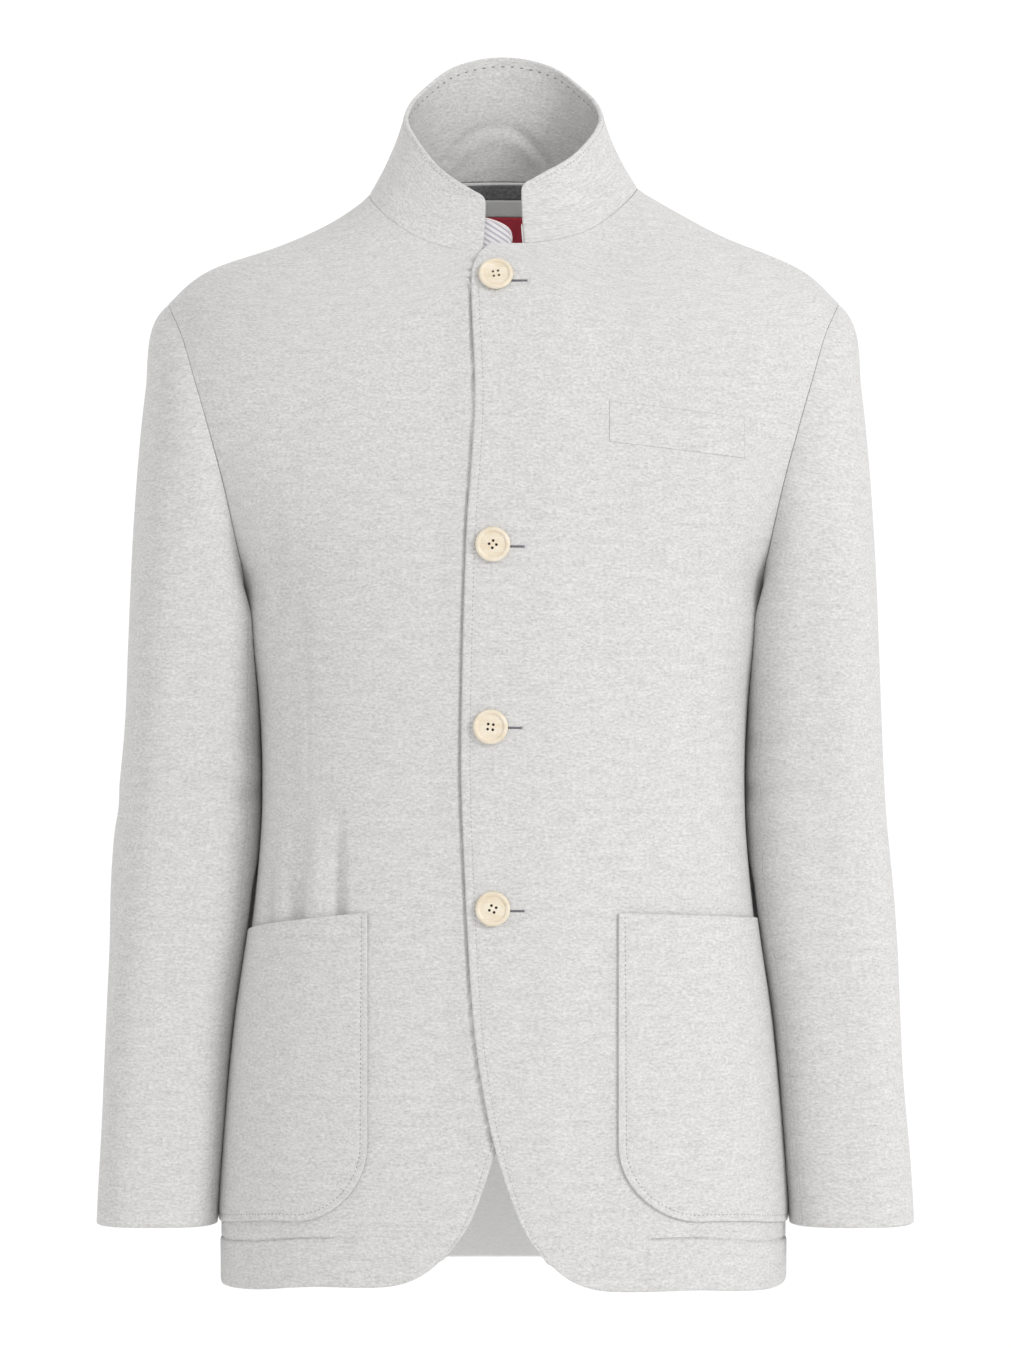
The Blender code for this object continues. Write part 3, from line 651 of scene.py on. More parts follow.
LEAN_PLACES = np.linspace(LEAN_ROWS[0].across, LEAN_ROWS[-1].across, 900)
LEAN_RISES = np.array([lean_curve(place) for place in LEAN_PLACES])


def lean(vertices):
    """The points raised as the uneven shoulders are."""
    raised = np.array(vertices, float)
    rise = np.interp(raised[:, 0], LEAN_PLACES, LEAN_RISES)
    raised[:, 2] += rise * ease(*LEAN_FADE, raised[:, 2])
    return raised


def new_object(name, vertices, faces, material, side=1):
    mesh = bpy.data.meshes.new(name)
    mesh.from_pydata((lean(np.asarray(vertices) * (side, 1, 1)) * MM).tolist(), [], faces)
    mesh.update()
    mesh.shade_smooth()
    mesh.materials.append(material)
    piece = bpy.data.objects.new(name, mesh)
    bpy.context.scene.collection.objects.link(piece)
    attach(piece, "root")
    return piece


def quads(index, reverse):
    corners = (index[:-1, :-1], index[:-1, 1:], index[1:, 1:], index[1:, :-1])
    if reverse:
        corners = corners[::-1]
    return np.stack(corners, axis=-1).reshape(-1, 4).tolist()


# Height above which the weave follows the cloth over the shoulder
GRAIN_TURN = -120.0


def grain(points):
    """Weave coordinate up the cloth: its height, or the way along it over the shoulder."""
    heights = points[..., 2].copy()
    steps = np.linalg.norm(np.diff(points, axis=0), axis=-1)
    extra = np.where(points[1:, :, 2] > GRAIN_TURN, steps - np.diff(heights, axis=0), 0.0)
    heights[1:] += np.cumsum(extra, axis=0)
    return heights


def cloth_object(
    name, cloth, material, seed, edges, weave=None, inner_relief=0.0, inner_material=None,
):
    """A closed shell with its weave coordinates, in metres. Its four edges, at the first and last
    column and row, close at a share of its depth: free ones roll round, sewn ones stay flush."""
    rows, columns = cloth.points.shape[:2]
    drop = np.zeros((rows, columns))
    rise = np.zeros((rows, columns))
    for distance, edge in zip(cloth.distances(), edges):
        roll = np.where(np.asarray(edge) < FREE, SEAM_ROLL, FREE_ROLL)
        round_off = 1 - np.sqrt(1 - (1 - np.minimum(distance / roll, 1.0)) ** 2)
        drop = np.maximum(drop, cloth.thickness * edge * round_off)
        rise = np.maximum(rise, cloth.thickness * (1 - np.asarray(edge)) * round_off)
    outer = cloth.points - cloth.normals * drop[..., None]
    depth = cloth.thickness - rise - inner_relief
    inner = cloth.points - cloth.normals * depth[..., None]
    index = np.arange(rows * columns).reshape(rows, columns)
    inside = index.copy()
    inside[1:-1, 1:-1] = rows * columns + np.arange((rows - 2) * (columns - 2)).reshape(
        rows - 2, columns - 2)
    reverse = cloth.flipped != (cloth.side < 0)
    vertices = np.concatenate([outer.reshape(-1, 3), inner[1:-1, 1:-1].reshape(-1, 3)])
    faces = quads(index, reverse) + quads(inside, not reverse)
    piece = new_object(name, vertices, faces, material, cloth.side)
    if inner_material:
        piece.data.materials.append(inner_material)
        faced = np.repeat([0, 1], len(faces) // 2)
        piece.data.polygons.foreach_set("material_index", faced)
    if weave is None:
        weave = (cloth.distances()[0], cloth.points[..., 2])
    coords = np.stack([weave[0] * MM, weave[1] * MM, np.full((rows, columns), seed)], axis=-1)
    coords = np.concatenate([coords.reshape(-1, 3), coords[1:-1, 1:-1].reshape(-1, 3)])
    made = piece.data.attributes.new("cloth", "FLOAT_VECTOR", "POINT")
    made.data.foreach_set("vector", coords.astype(np.float32).ravel())
    cloth.outer = outer
    cloth.inner = inner
    return piece


def stand_for(node, slot, cloth):
    """Hides the piece's solid and works out the width, length and area of its cut."""
    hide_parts(node)
    width, length, area = cloth.flat_size()


# Creases, from a start to an end: across and height on the body, and the way round in
# millimetres and height on a sleeve; depth is inward, and a ridge has a negative depth
Crease = namedtuple("Crease", "start_x start_z end_x end_z half_width depth")
FRONT_CREASES = {
    -1: [
        Crease(158, -196, 136, -330, 11, 1.5),
        Crease(136, -268, 131, -352, 5, 0.9),
        Crease(146, -236, 142, -330, 8, -0.9),
        Crease(137, -418, 139, -528, 7, 5.8),
        Crease(110, -414, 109, -528, 7, 5.8),
        Crease(158, -446, 158, -520, 5, 3.2),
        Crease(123, -408, 124, -500, 8, -2.4),
        Crease(147, -420, 149, -500, 6, -1.8),
        Crease(60, -330, 120, -382, 22, 0.9),
        Crease(30, -520, 60, -640, 24, 0.8),
        Crease(120, -110, 150, -190, 20, 0.8),
    ],
    1: [
        Crease(112, -420, 116, -474, 9, 1.0),
        Crease(139, -424, 137, -476, 8, 0.8),
        Crease(160, -300, 140, -392, 14, 1.2),
        Crease(48, -300, 110, -356, 22, 0.7),
        Crease(140, -120, 158, -196, 18, 0.7),
        Crease(34, -560, 58, -650, 22, 0.7),
    ],
}
BACK_CREASES = [
    Crease(-150, -150, -96, -262, 22, 2.0),
    Crease(142, -142, 102, -238, 24, 1.8),
    Crease(-132, -330, -58, -388, 20, 1.9),
    Crease(126, -346, 40, -408, 22, 1.7),
    Crease(-40, -398, 22, -420, 18, 1.3),
    Crease(-70, -470, -96, -640, 26, 1.6),
    Crease(64, -484, 90, -690, 28, 1.8),
    Crease(4, -470, -8, -700, 24, 1.2),
    Crease(-110, -60, -40, -90, 20, 1.0),
    Crease(30, -86, 120, -66, 20, 0.9),
]
UPPER_SLEEVE_CREASES = {
    -1: [
        Crease(-104, -300, -66, -352, 12, 1.2),
        Crease(-112, -384, -50, -424, 12, 1.9),
        Crease(-116, -446, -62, -462, 10, 1.2),
        Crease(-20, -404, 34, -438, 16, 1.6),
        Crease(8, -452, 60, -470, 14, 1.1),
        Crease(-42, -150, -24, -300, 20, 1.0),
        Crease(-26, -500, -14, -660, 20, 1.1),
        Crease(40, -180, 62, -270, 18, 1.4),
        Crease(58, -330, 96, -372, 14, 1.6),
        Crease(50, -540, 66, -640, 16, 0.9),
        Crease(0, -360, 0, -500, 38, -3.6),
    ],
    1: [
        Crease(-102, -310, -72, -356, 12, 1.0),
        Crease(-114, -392, -60, -420, 12, 1.5),
        Crease(-112, -436, -74, -462, 9, 1.0),
        Crease(-12, -418, 40, -436, 15, 1.2),
        Crease(-40, -190, -30, -320, 20, 0.7),
        Crease(-18, -520, -8, -640, 18, 0.8),
        Crease(44, -170, 70, -262, 18, 1.4),
        Crease(64, -346, 98, -378, 13, 1.5),
        Crease(30, -470, 70, -486, 12, 0.9),
        Crease(0, -600, 0, -780, 40, -2.8),
    ],
}
UNDER_SLEEVE_CREASES = {
    -1: [
        Crease(118, -340, 160, -372, 12, 1.5),
        Crease(116, -420, 158, -436, 12, 1.2),
        Crease(136, -520, 142, -620, 14, 0.9),
    ],
    1: [
        Crease(120, -352, 162, -380, 12, 1.5),
        Crease(116, -410, 152, -440, 12, 1.2),
        Crease(138, -540, 144, -630, 14, 0.8),
    ],
}
SLEEVE_MEAN_RADIUS = 55.0
CREASE_TAPER = 0.62


def crease_relief(across, height, creases):
    """Soft troughs and ridges along straight runs, deepest in the middle of each."""
    relief = np.zeros_like(across)
    for crease in creases:
        way = np.array([crease.end_x - crease.start_x, crease.end_z - crease.start_z], float)
        length = np.linalg.norm(way)
        way /= length
        off_x = across - crease.start_x
        off_z = height - crease.start_z
        along = (off_x * way[0] + off_z * way[1]) / length
        beside = off_x * way[1] - off_z * way[0]
        taper = bump(along, 0.5, CREASE_TAPER)
        relief -= crease.depth * taper * bump(beside, 0.0, crease.half_width)
    return relief


# Front panels
FRONT_STEP = 1.9
PANEL_ROW_STEP = 4.5
SIDE_LENGTH = 455.0
UPPER_LENGTH = 250.0
FRONT_WIDTH = 215.0
HEM_FOLD = -695.6
HEM_FOLD_STEP = 0.3
HEM_FOLD_ENDS = (93.0, 99.0)
HEM_FOLD_DEPTH = 1.7
HEM_FOLD_HALF = 1.0
HEM_PROUD = 0.7
HEM_PROUD_FADE = 3.0
HEM_SIDE = 0.9
HEM_FALL = 6.5
HEM_FALL_START = 120.0
HEM_FALL_END = 191.0
HEM_FALL_TOP = 70.0
EDGE_STITCH = 6.0
EDGE_STITCH_ROW = 8
STITCH_TROUGH = 0.35
STITCH_TROUGH_HALF = 2.2
LAP_FULL = 1.25
LAP_FULL_HALF = 20.0
LAP_FULL_ENDS = (-690.0, -620.0)
LAP_CREVICE = 2.2
LAP_CREVICE_HALF = 1.5
LAP_CREVICE_OUT = 0.3
LAP_LEVELS = 400
LAP_STEP = 0.55
LAP_PLACES = (28.0, 32.0, 36.0, 40.0, 44.0, 48.0)
DART = [(135.5, -268), (131.5, -292), (130.0, -330), (130.0, -370), (132.5, -466)]
DART_HALF = 2.4
DART_FADE = 20.0
DART_DEPTH = {-1: 0.75, 1: 0.35}


def panel_lines(inner_edge, neck, lower, upper):
    """Ends of each row as (angle, height), with how much of the hem and shoulder curves it has."""
    start = inner_edge(HEM)[1]
    lines = []
    for t in lower[:-1]:
        height = mix(start, ARM_BOTTOM, t)
        inner = (angle_at(inner_edge(height)[0], height, -1), height)
        lines.append((inner, (90.0, mix(HEM, ARM_BOTTOM, t)), (1 - t) ** 2, 0.0))
    top = neck(0.0)[1]
    for p in upper:
        if p <= EDGE_SHARE:
            height = mix(ARM_BOTTOM, top, p / EDGE_SHARE)
            across = inner_edge(height)[0]
        else:
            across, height = neck(math.sin(math.pi / 2 * (p - EDGE_SHARE) / (1 - EDGE_SHARE)))
        seam = arm_point(-math.pi * (1 - p))
        inner = (angle_at(across, height, -1), height)
        lines.append((inner, (angle_at(seam.x, seam.z, -1), seam.z), 0.0, p * p))
    return lines


def hem_fall(across):
    """How far the hem's fold falls to the side."""
    return HEM_FALL * ease(HEM_FALL_START, HEM_FALL_END, across)


def front_cloth(side):
    shift = 0.0 if side > 0 else UNDERLAP_SHIFT
    neck_start = 0.0 if side > 0 else UNDER_NECK_START

    def inner_edge(height):
        height = max(height, EDGE_ROWS[0].height)
        return edge_curve(height) + shift, height

    def neck(share):
        return neck_line(mix(neck_start, 1.0, share), side)

    def hem(across):
        rise = 0.0 if side > 0 else UNDER_HEM_RISE * (1 - ease(*UNDER_HEM_FADE, across))
        return hem_curve(across - shift) + rise

    fold_up = HEM_FOLD - HEM
    lower = graded(SIDE_LENGTH, PANEL_ROW_STEP, [(0.0, EDGE_STEP), (fold_up, HEM_FOLD_STEP)])
    upper = graded(UPPER_LENGTH, PANEL_ROW_STEP, [(UPPER_LENGTH, EDGE_STEP)])
    columns = both_ends(FRONT_WIDTH, FRONT_STEP)
    if side < 0:
        fine = [(place, LAP_STEP) for place in LAP_PLACES]
        columns = graded(FRONT_WIDTH, FRONT_STEP, [(0.0, EDGE_STEP), (FRONT_WIDTH, EDGE_STEP)] + fine)
    lines = panel_lines(inner_edge, neck, lower, upper)
    hem_start = inner_edge(HEM)[1]
    hem_width = section(HEM, -1)[0]
    rows = []
    for start, end, low, high in lines:
        row = []
        for u in columns:
            height = mix(start[1], end[1], u)
            if low > 0:
                across = hem_width * math.sin(math.radians(mix(lines[0][0][0], 90.0, u)))
                free = 1 - ease(HEM_SIDE, 1.0, u)
                height += low * free * (hem(across) - mix(hem_start, HEM, u))
                up = mix(start[1], end[1], u) - HEM
                height -= hem_fall(across) * bump(up, fold_up, HEM_FALL_TOP) * ease(0.0, fold_up, up)
            if high > 0:
                seam_x = mix(SHOULDER_ROWS[0].across, SHOULDER_ROWS[-1].across, u)
                straight = mix(SHOULDER_ROWS[0].height, SHOULDER_ROWS[-1].height, u)
                height += high * (shoulder_height(seam_x) - straight)
            row.append(front_point(mix(start[0], end[0], u), height, side))
        rows.append(row)
    cloth = Cloth(rows, CLOTH, (1, 1, 0, 0, 0, 0), side)
    cloth.neck_row = len(lower) - 1 + sum(p < EDGE_SHARE for p in upper)
    return cloth


def front_relief(cloth, side):
    across = cloth.points[..., 0]
    height = cloth.points[..., 2]
    from_edge = cloth.distances()[0]
    relief = crease_relief(across, height, FRONT_CREASES[side])
    if side < 0:
        levels = np.linspace(EDGE_ROWS[0].height, EDGE_ROWS[-1].height, LAP_LEVELS)
        lap_x = np.interp(height, levels, [-edge_curve(level) for level in levels])
        swell = LAP_FULL * bump(across, lap_x, LAP_FULL_HALF)
        swell -= LAP_CREVICE * bump(across, lap_x + LAP_CREVICE_OUT, LAP_CREVICE_HALF)
        relief += swell * ease(*LAP_FULL_ENDS, height)
    stitched = bump(from_edge, EDGE_STITCH, STITCH_TROUGH_HALF)
    stitched[cloth.neck_row - 1:] = 0
    relief -= STITCH_TROUGH * stitched
    dart_x = np.interp(height, [z for _, z in DART[::-1]], [x for x, _ in DART[::-1]])
    dart_low = DART[-1][1]
    dart_on = ease(dart_low - DART_FADE / 2, dart_low + DART_FADE / 2, height)
    dart_on = dart_on * (1 - ease(DART[0][1] - DART_FADE, DART[0][1], height))
    relief -= DART_DEPTH[side] * dart_on * bump(across, dart_x, DART_HALF)
    ends = ease(*HEM_FOLD_ENDS, across)
    fold = HEM_FOLD - hem_fall(across)
    proud = 1 - ease(fold - HEM_PROUD_FADE, fold, height)
    relief += ends * (HEM_PROUD * proud - HEM_FOLD_DEPTH * bump(height, fold, HEM_FOLD_HALF))
    return relief


# Back panel
BACK_STEP = 4.5
BACK_ROW_STEP = 6.0
BACK_UPPER_STEP = 5.0


def back_cloth():
    lower = graded(SIDE_LENGTH, BACK_ROW_STEP, [(0.0, EDGE_STEP)])
    upper = graded(UPPER_LENGTH, BACK_UPPER_STEP, [(UPPER_LENGTH, EDGE_STEP)])
    neck_end = BACK_NECK_SHARE * FRONT_WIDTH
    half = graded(FRONT_WIDTH, BACK_STEP, [(neck_end, EDGE_STEP), (FRONT_WIDTH, EDGE_STEP)])
    nearest = min(half, key=lambda u: abs(u - BACK_NECK_SHARE))
    half[half.index(nearest)] = BACK_NECK_SHARE
    ways = [-u for u in reversed(half[1:])] + half

    def top(way):
        if way >= BACK_NECK_SHARE:
            s = (way - BACK_NECK_SHARE) / (1 - BACK_NECK_SHARE)
            return 90.0, shoulder_height(mix(SHOULDER_ROWS[0].across, SHOULDER_ROWS[-1].across, s))
        across, height = neck_back(way / BACK_NECK_SHARE)
        return angle_at(across, height, 1), height

    tops = {abs(way): top(abs(way)) for way in ways}
    lines = [(90.0, mix(HEM, ARM_BOTTOM, t), 0.0) for t in lower[:-1]]
    for p in upper:
        seam = arm_point(math.pi * (1 - p))
        lines.append((angle_at(seam.x, seam.z, 1), seam.z, p))
    rows = []
    for angle_end, height_end, p in lines:
        middle = mix(ARM_BOTTOM, CENTRE_BACK_TOP, p) if p > 0 else height_end
        row = []
        for way in ways:
            share = abs(way)
            top_angle, top_height = tops[share]
            straight = mix(CENTRE_BACK_TOP, SHOULDER_ROWS[-1].height, share)
            height = mix(middle, height_end, share) + p * p * (top_height - straight)
            angle = mix(share * angle_end, top_angle, p * p)
            point = back_point(angle, height)
            point.x = math.copysign(point.x, way)
            row.append(point)
        rows.append(row)
    return Cloth(rows, CLOTH, (1, 1, 0, 0, 0, 0))


# Sleeves
SLEEVE_LENGTH = 415.0
CAP_LENGTH = 215.0
SLEEVE_STEP = 3.2
SLEEVE_ROW_STEP = 4.0
UPPER_SLEEVE_WIDTH = 250.0
UNDER_SLEEVE_WIDTH = 100.0
HEAD_FULLNESS = 3.2
HEAD_PLACE = (0.2, 0.19)
HEAD_HALF = 75.0


def sleeve_cloth(side, start, end, width):
    levels = graded(CAP_LENGTH, SLEEVE_ROW_STEP, [(0.0, EDGE_STEP)])[:-1]
    below = graded(SLEEVE_LENGTH, SLEEVE_ROW_STEP, [(SLEEVE_LENGTH, EDGE_STEP)])
    levels += [1 + t for t in below]
    angles = [mix(start, end, u) for u in both_ends(width, SLEEVE_STEP)]
    rows = [[sleeve_point(angle, level) for angle in angles] for level in levels]
    middle = -sleeve_curve(SLEEVE_ROWS[3].height)[0]
    cloth = Cloth(rows, CLOTH, (1, 1, 0, middle, 0, 0), side)
    cloth.around = np.tile(np.radians(angles) * SLEEVE_MEAN_RADIUS, (len(levels), 1))
    head = np.outer(bump(np.array(levels), *HEAD_PLACE), bump(np.array(angles), 0.0, HEAD_HALF))
    cloth.press(HEAD_FULLNESS * head)
    return cloth


# Collar
COLLAR_LENGTH = 440.0
COLLAR_RISE = 75.0
COLLAR_STEP = 3.0
COLLAR_ROW_STEP = 2.6
COLLAR_CORNER = 4.5
COLLAR_STITCH = 7.0
COLLAR_OUTER_STITCH = 3.8
COLLAR_TROUGH_START = (4.0, 9.0)
COLLAR_STITCH_END = 0.97
COLLAR_STITCH_SPACING = 6.6
COLLAR_STITCH_SIZE = (2.7, 1.0, 0.7)
NECK_PIPING = (-40.0, -22.0)
NECK_PIPING_SHIFT = (-0.5, 1.3, 0.0)
NECK_PIPING_RADIUS = 0.6
ARCH_MIDDLE = -5.0
ARCH_TOP = 56.0
ARCH_BEND = 0.019
ARCH_DEPTH = 3.4
ARCH_HALF = 5.0
ARCH_FULL = 2.6
ARCH_FULL_BELOW = 9.0
ARCH_BEHIND = (0.0, 30.0)
ARCH_FLANKS = (6.0, 22.0)
ARCH_CROWN = 0.35
ARCH_ENDS = (36.0, 50.0)


def collar_cloth():
    places = [2 * share - 1 for share in both_ends(COLLAR_LENGTH, COLLAR_STEP)]
    ups = both_ends(COLLAR_RISE, COLLAR_ROW_STEP)
    rows = []
    for up in ups:
        row = []
        for place in places:
            from_end = (1 - abs(place)) * COLLAR_LENGTH / 2
            out = max(1 - from_end / COLLAR_CORNER, 0.0)
            height = (collar_point(place, 1.0) - collar_point(place, 0.0)).length
            highest = 1 - COLLAR_CORNER * (1 - math.sqrt(1 - out * out)) / height
            row.append(collar_point(place, up * highest))
        rows.append(row)
    cloth = Cloth(rows, COLLAR_CLOTH, (1, 1, 0, 0, -COLLAR_MIDDLE, 0))
    cloth.places = np.tile(places, (len(ups), 1))
    return cloth


def collar_arch(cloth):
    """Soft arched crease inside the back of the collar, with fuller cloth under it."""
    across = cloth.points[..., 0] - ARCH_MIDDLE
    behind = ease(*ARCH_BEHIND, cloth.points[..., 1])
    below = ARCH_TOP - ARCH_BEND * across ** 2 - cloth.points[..., 2]
    flanks = mix(ARCH_CROWN, 1.0, ease(*ARCH_FLANKS, np.abs(across)))
    ends = 1 - ease(*ARCH_ENDS, np.abs(across))
    crease = ARCH_DEPTH * bump(below, 0.0, ARCH_HALF)
    crease -= ARCH_FULL * bump(below, ARCH_FULL_BELOW, ARCH_FULL_BELOW)
    return behind * flanks * ends * crease


# Patch pockets, chest welt and neck trims
POCKET_HEIGHT = 200.0
POCKET_ROW_STEP = 3.4
POCKET_FLAT_STEP = 3.0
POCKET_FLAT_START = 2.0
FRONT_CORNER_GRID = (60.0, 2.2, 0.8)
SIDE_CORNER_GRID = (18.0, 1.5, 0.6)
POCKET_STITCH_TOP = 2.0
POCKET_EDGE_POINTS = 60
POCKET_CORNER_POINTS = 30
POCKET_BOTTOM_POINTS = 40
TRIM_STEP = 3.0
TRIM_ROW_STEP = 2.4
LINING_LENGTH = 40.0
LINING_STEP = 1.2
LINING_ROW_STEP = 1.4
LINING_PIPING_RADIUS = 0.8


def pocket_corners(place):
    """Radius of each lower corner, and the distance from its upright edge."""
    return (POCKET_FRONT_CORNER, place), (POCKET_SIDE_CORNER, POCKET_WIDTH - place)


def pocket_fall(place):
    """How far the bottom falls to the side."""
    return POCKET_SIDE_DROP * ease(POCKET_FRONT_CORNER, POCKET_WIDTH, place)


def pocket_bottom(place):
    """Bottom height there: it falls to the side, and both lower corners are rounded."""
    height = POCKET_BOTTOM - pocket_fall(place)
    for radius, near in pocket_corners(place):
        if near < radius:
            height += radius - math.sqrt(max(radius ** 2 - (radius - near) ** 2, 0.0))
    return height


def pocket_mouth(place, side):
    return POCKET_MOUTH - POCKET_MOUTH_DROP[side] * place / POCKET_WIDTH


def pocket_point(place, height, side):
    """Point and normal on the outer face of a patch pocket."""

    def surface(angle, level):
        return front_point(angle, level, side)

    share = place / POCKET_WIDTH
    edge = angle_at(POCKET_FRONT_X - side * CENTRE_SHIFT, height, -1)
    angle = mix(edge, POCKET_SIDE_ANGLE, share)
    normal = body_normal(surface, angle, height)
    bottom = pocket_bottom(place)
    t = (height - bottom) / (pocket_mouth(place, side) - bottom)
    gape = POCKET_GAPE * math.sin(math.pi * share) * max(t, 0.0) ** 3
    return surface(angle, height) + normal * (POCKET_SEAT + POCKET_CLOTH + gape), normal


def pocket_inset(place, height):
    """Distance inside the pocket's front, bottom and side edges, round its corners."""
    up = height - POCKET_BOTTOM + pocket_fall(place)
    inset = min(place, POCKET_WIDTH - place, up)
    for radius, near in pocket_corners(place):
        if near < radius and up < radius:
            inset = radius - math.hypot(radius - near, radius - up)
    return inset


def pocket_cloth(side):
    flat = POCKET_WIDTH - POCKET_FRONT_CORNER - POCKET_SIDE_CORNER
    length, coarse, fine = FRONT_CORNER_GRID
    turns = [math.pi / 2 * t for t in graded(length, coarse, [(0.0, fine)])]
    places = [POCKET_FRONT_CORNER * (1 - math.cos(turn)) for turn in turns]
    level = graded(flat, POCKET_FLAT_STEP, [(0.0, POCKET_FLAT_START)])[1:]
    places += [POCKET_FRONT_CORNER + flat * t for t in level]
    length, coarse, fine = SIDE_CORNER_GRID
    turns = [math.pi / 2 * t for t in graded(length, coarse, [(length, fine)])[1:]]
    places += [POCKET_WIDTH - POCKET_SIDE_CORNER * (1 - math.sin(turn)) for turn in turns]
    shares = both_ends(POCKET_HEIGHT, POCKET_ROW_STEP)
    rows = []
    insets = []
    for t in shares:
        heights = [mix(pocket_bottom(place), pocket_mouth(place, side), t) for place in places]
        rows.append([pocket_point(place, height, side)[0] for place, height in zip(places, heights)])
        insets.append([pocket_inset(place, height) for place, height in zip(places, heights)])
    cloth = Cloth(rows, POCKET_CLOTH, (1, 1, 0, 0, 0, 0), side)
    cloth.press(-POCKET_TROUGH * bump(np.array(insets), POCKET_STITCH, STITCH_TROUGH_HALF))
    return cloth


def lapped_front(angle, height):
    return front_point(angle, height, 1)


def under_front(angle, height):
    return front_point(angle, height, -1)


def off_surface(surface, across, height, facing, lift):
    """Point at that distance off a body surface, outward if positive."""
    angle = angle_at(across, height, facing)
    return surface(angle, height) + body_normal(surface, angle, height) * lift


def strip_rows(point, rise, row_step, width, step):
    """Rows of points of a strip, by the shares of its width and its rise."""
    shares = both_ends(width, step)
    return [[point(share, t) for share in shares] for t in both_ends(rise, row_step)]


def welt_cloth():
    def point(share, t):
        height = WELT_TOP - WELT_FALL * share - WELT_HEIGHT * (1 - t)
        across = mix(WELT_FRONT_X, WELT_END_X, share)
        return off_surface(lapped_front, across, height, -1, WELT_SEAT + WELT_CLOTH)

    rows = strip_rows(point, WELT_HEIGHT, TRIM_ROW_STEP, WELT_END_X - WELT_FRONT_X, TRIM_STEP)
    cloth = Cloth(rows, WELT_CLOTH, (1, 1, 0, 0, 0, 0))
    cloth.press(crease_relief(cloth.points[..., 0], cloth.points[..., 2], FRONT_CREASES[1]))
    return cloth


def trim_cloth(row):
    """A thin strip on the inside of the back, under the neck seam."""

    def point(share, t):
        across = mix(-row.half_width, row.half_width, share)
        drop = neck_height(0.0) - neck_height(abs(across))
        height = mix(row.bottom, row.top, t) - drop
        found = off_surface(back_point, abs(across), height, 1, -CLOTH - TRIM_SEAT)
        found.x = math.copysign(found.x, across)
        return found

    rows = strip_rows(point, row.top - row.bottom, TRIM_ROW_STEP, 2 * row.half_width, TRIM_STEP)
    return Cloth(rows, TRIM_CLOTH, (1, 1, 0, 0, 0, 0))


def lining_cloth():
    start = LINING_ROWS[0].across
    end = LINING_ROWS[-1].across

    def point(share, t):
        across = mix(start, end, share)
        height = mix(LINING_BOTTOM, lining_top(across), t)
        return off_surface(under_front, -across, height, -1, -LINING_DEPTH)

    rows = strip_rows(point, LINING_LENGTH, LINING_ROW_STEP, end - start, LINING_STEP)
    return Cloth(rows, TRIM_CLOTH, (0, 0, 0, 0, -1, 0), -1)


# Stitches and threads
STITCH_SPACING = 3.1
STITCH_SIZE = (1.5, 0.65, 0.5)
STITCH_RINGS = 4
STITCH_SIDES = 6
TUBE_SIDES = 10
TUBE_ENDS = (0.35, 0.85)
TUBE_UP = (0.3, -1.0, 0.2)


def bead():
    """A small round bead of radius 1 as vertices and faces, poles along x."""
    vertices = [(-1.0, 0.0, 0.0)]
    for ring in range(1, STITCH_RINGS):
        turn = math.pi * ring / STITCH_RINGS
        for step in range(STITCH_SIDES):
            round_it = 2 * math.pi * step / STITCH_SIDES
            out = math.sin(turn)
            vertices.append((-math.cos(turn), out * math.cos(round_it), out * math.sin(round_it)))
    vertices.append((1.0, 0.0, 0.0))
    faces = []
    last = len(vertices) - 1
    for step in range(STITCH_SIDES):
        after = (step + 1) % STITCH_SIDES
        faces.append((0, 1 + after, 1 + step))
        end = 1 + (STITCH_RINGS - 2) * STITCH_SIDES
        faces.append((last, end + step, end + after))
        for ring in range(STITCH_RINGS - 2):
            low = 1 + ring * STITCH_SIDES
            high = low + STITCH_SIDES
            faces.append((low + step, low + after, high + after, high + step))
    return np.array(vertices), faces


def unit(vectors):
    return vectors / np.maximum(np.linalg.norm(vectors, axis=-1, keepdims=True), 1e-9)


def spaced(path, normals, spacing):
    """Points, tangents and normals at even steps along a path."""
    steps = np.linalg.norm(np.diff(path, axis=0), axis=1)
    run = np.concatenate([[0.0], np.cumsum(steps)])
    places = np.arange(spacing / 2, run[-1], spacing)
    ahead = np.minimum(places + 0.5, run[-1])
    behind = np.maximum(places - 0.5, 0.0)

    def at(where, values):
        return np.stack([np.interp(where, run, values[:, axis]) for axis in range(3)], axis=1)

    return at(places, path), unit(at(ahead, path) - at(behind, path)), unit(at(places, normals))


def beads_object(name, runs, size, material, side=1, spacing=STITCH_SPACING, turned=0.0):
    """One joined mesh of beads along runs of (path, normals), lying along or across the path."""
    shape, faces = bead()
    vertices = []
    every = []
    for path, normals in runs:
        points, tangents, out = spaced(np.array(path, float), np.array(normals, float), spacing)
        across = unit(np.cross(out, tangents))
        turn = math.radians(turned)
        long_way = tangents * math.cos(turn) + across * math.sin(turn)
        wide_way = np.cross(out, long_way)
        for place, one, two, three in zip(points, long_way, wide_way, out):
            first = len(vertices) * len(shape)
            vertices.append(
                place + shape[:, :1] * one * size[0] / 2
                + shape[:, 1:2] * two * size[1] / 2 + shape[:, 2:] * three * size[2] / 2
            )
            every += [tuple(first + corner for corner in face) for face in faces]
    if side < 0:
        every = [face[::-1] for face in every]
    return new_object(name, np.concatenate(vertices), every, material, side)


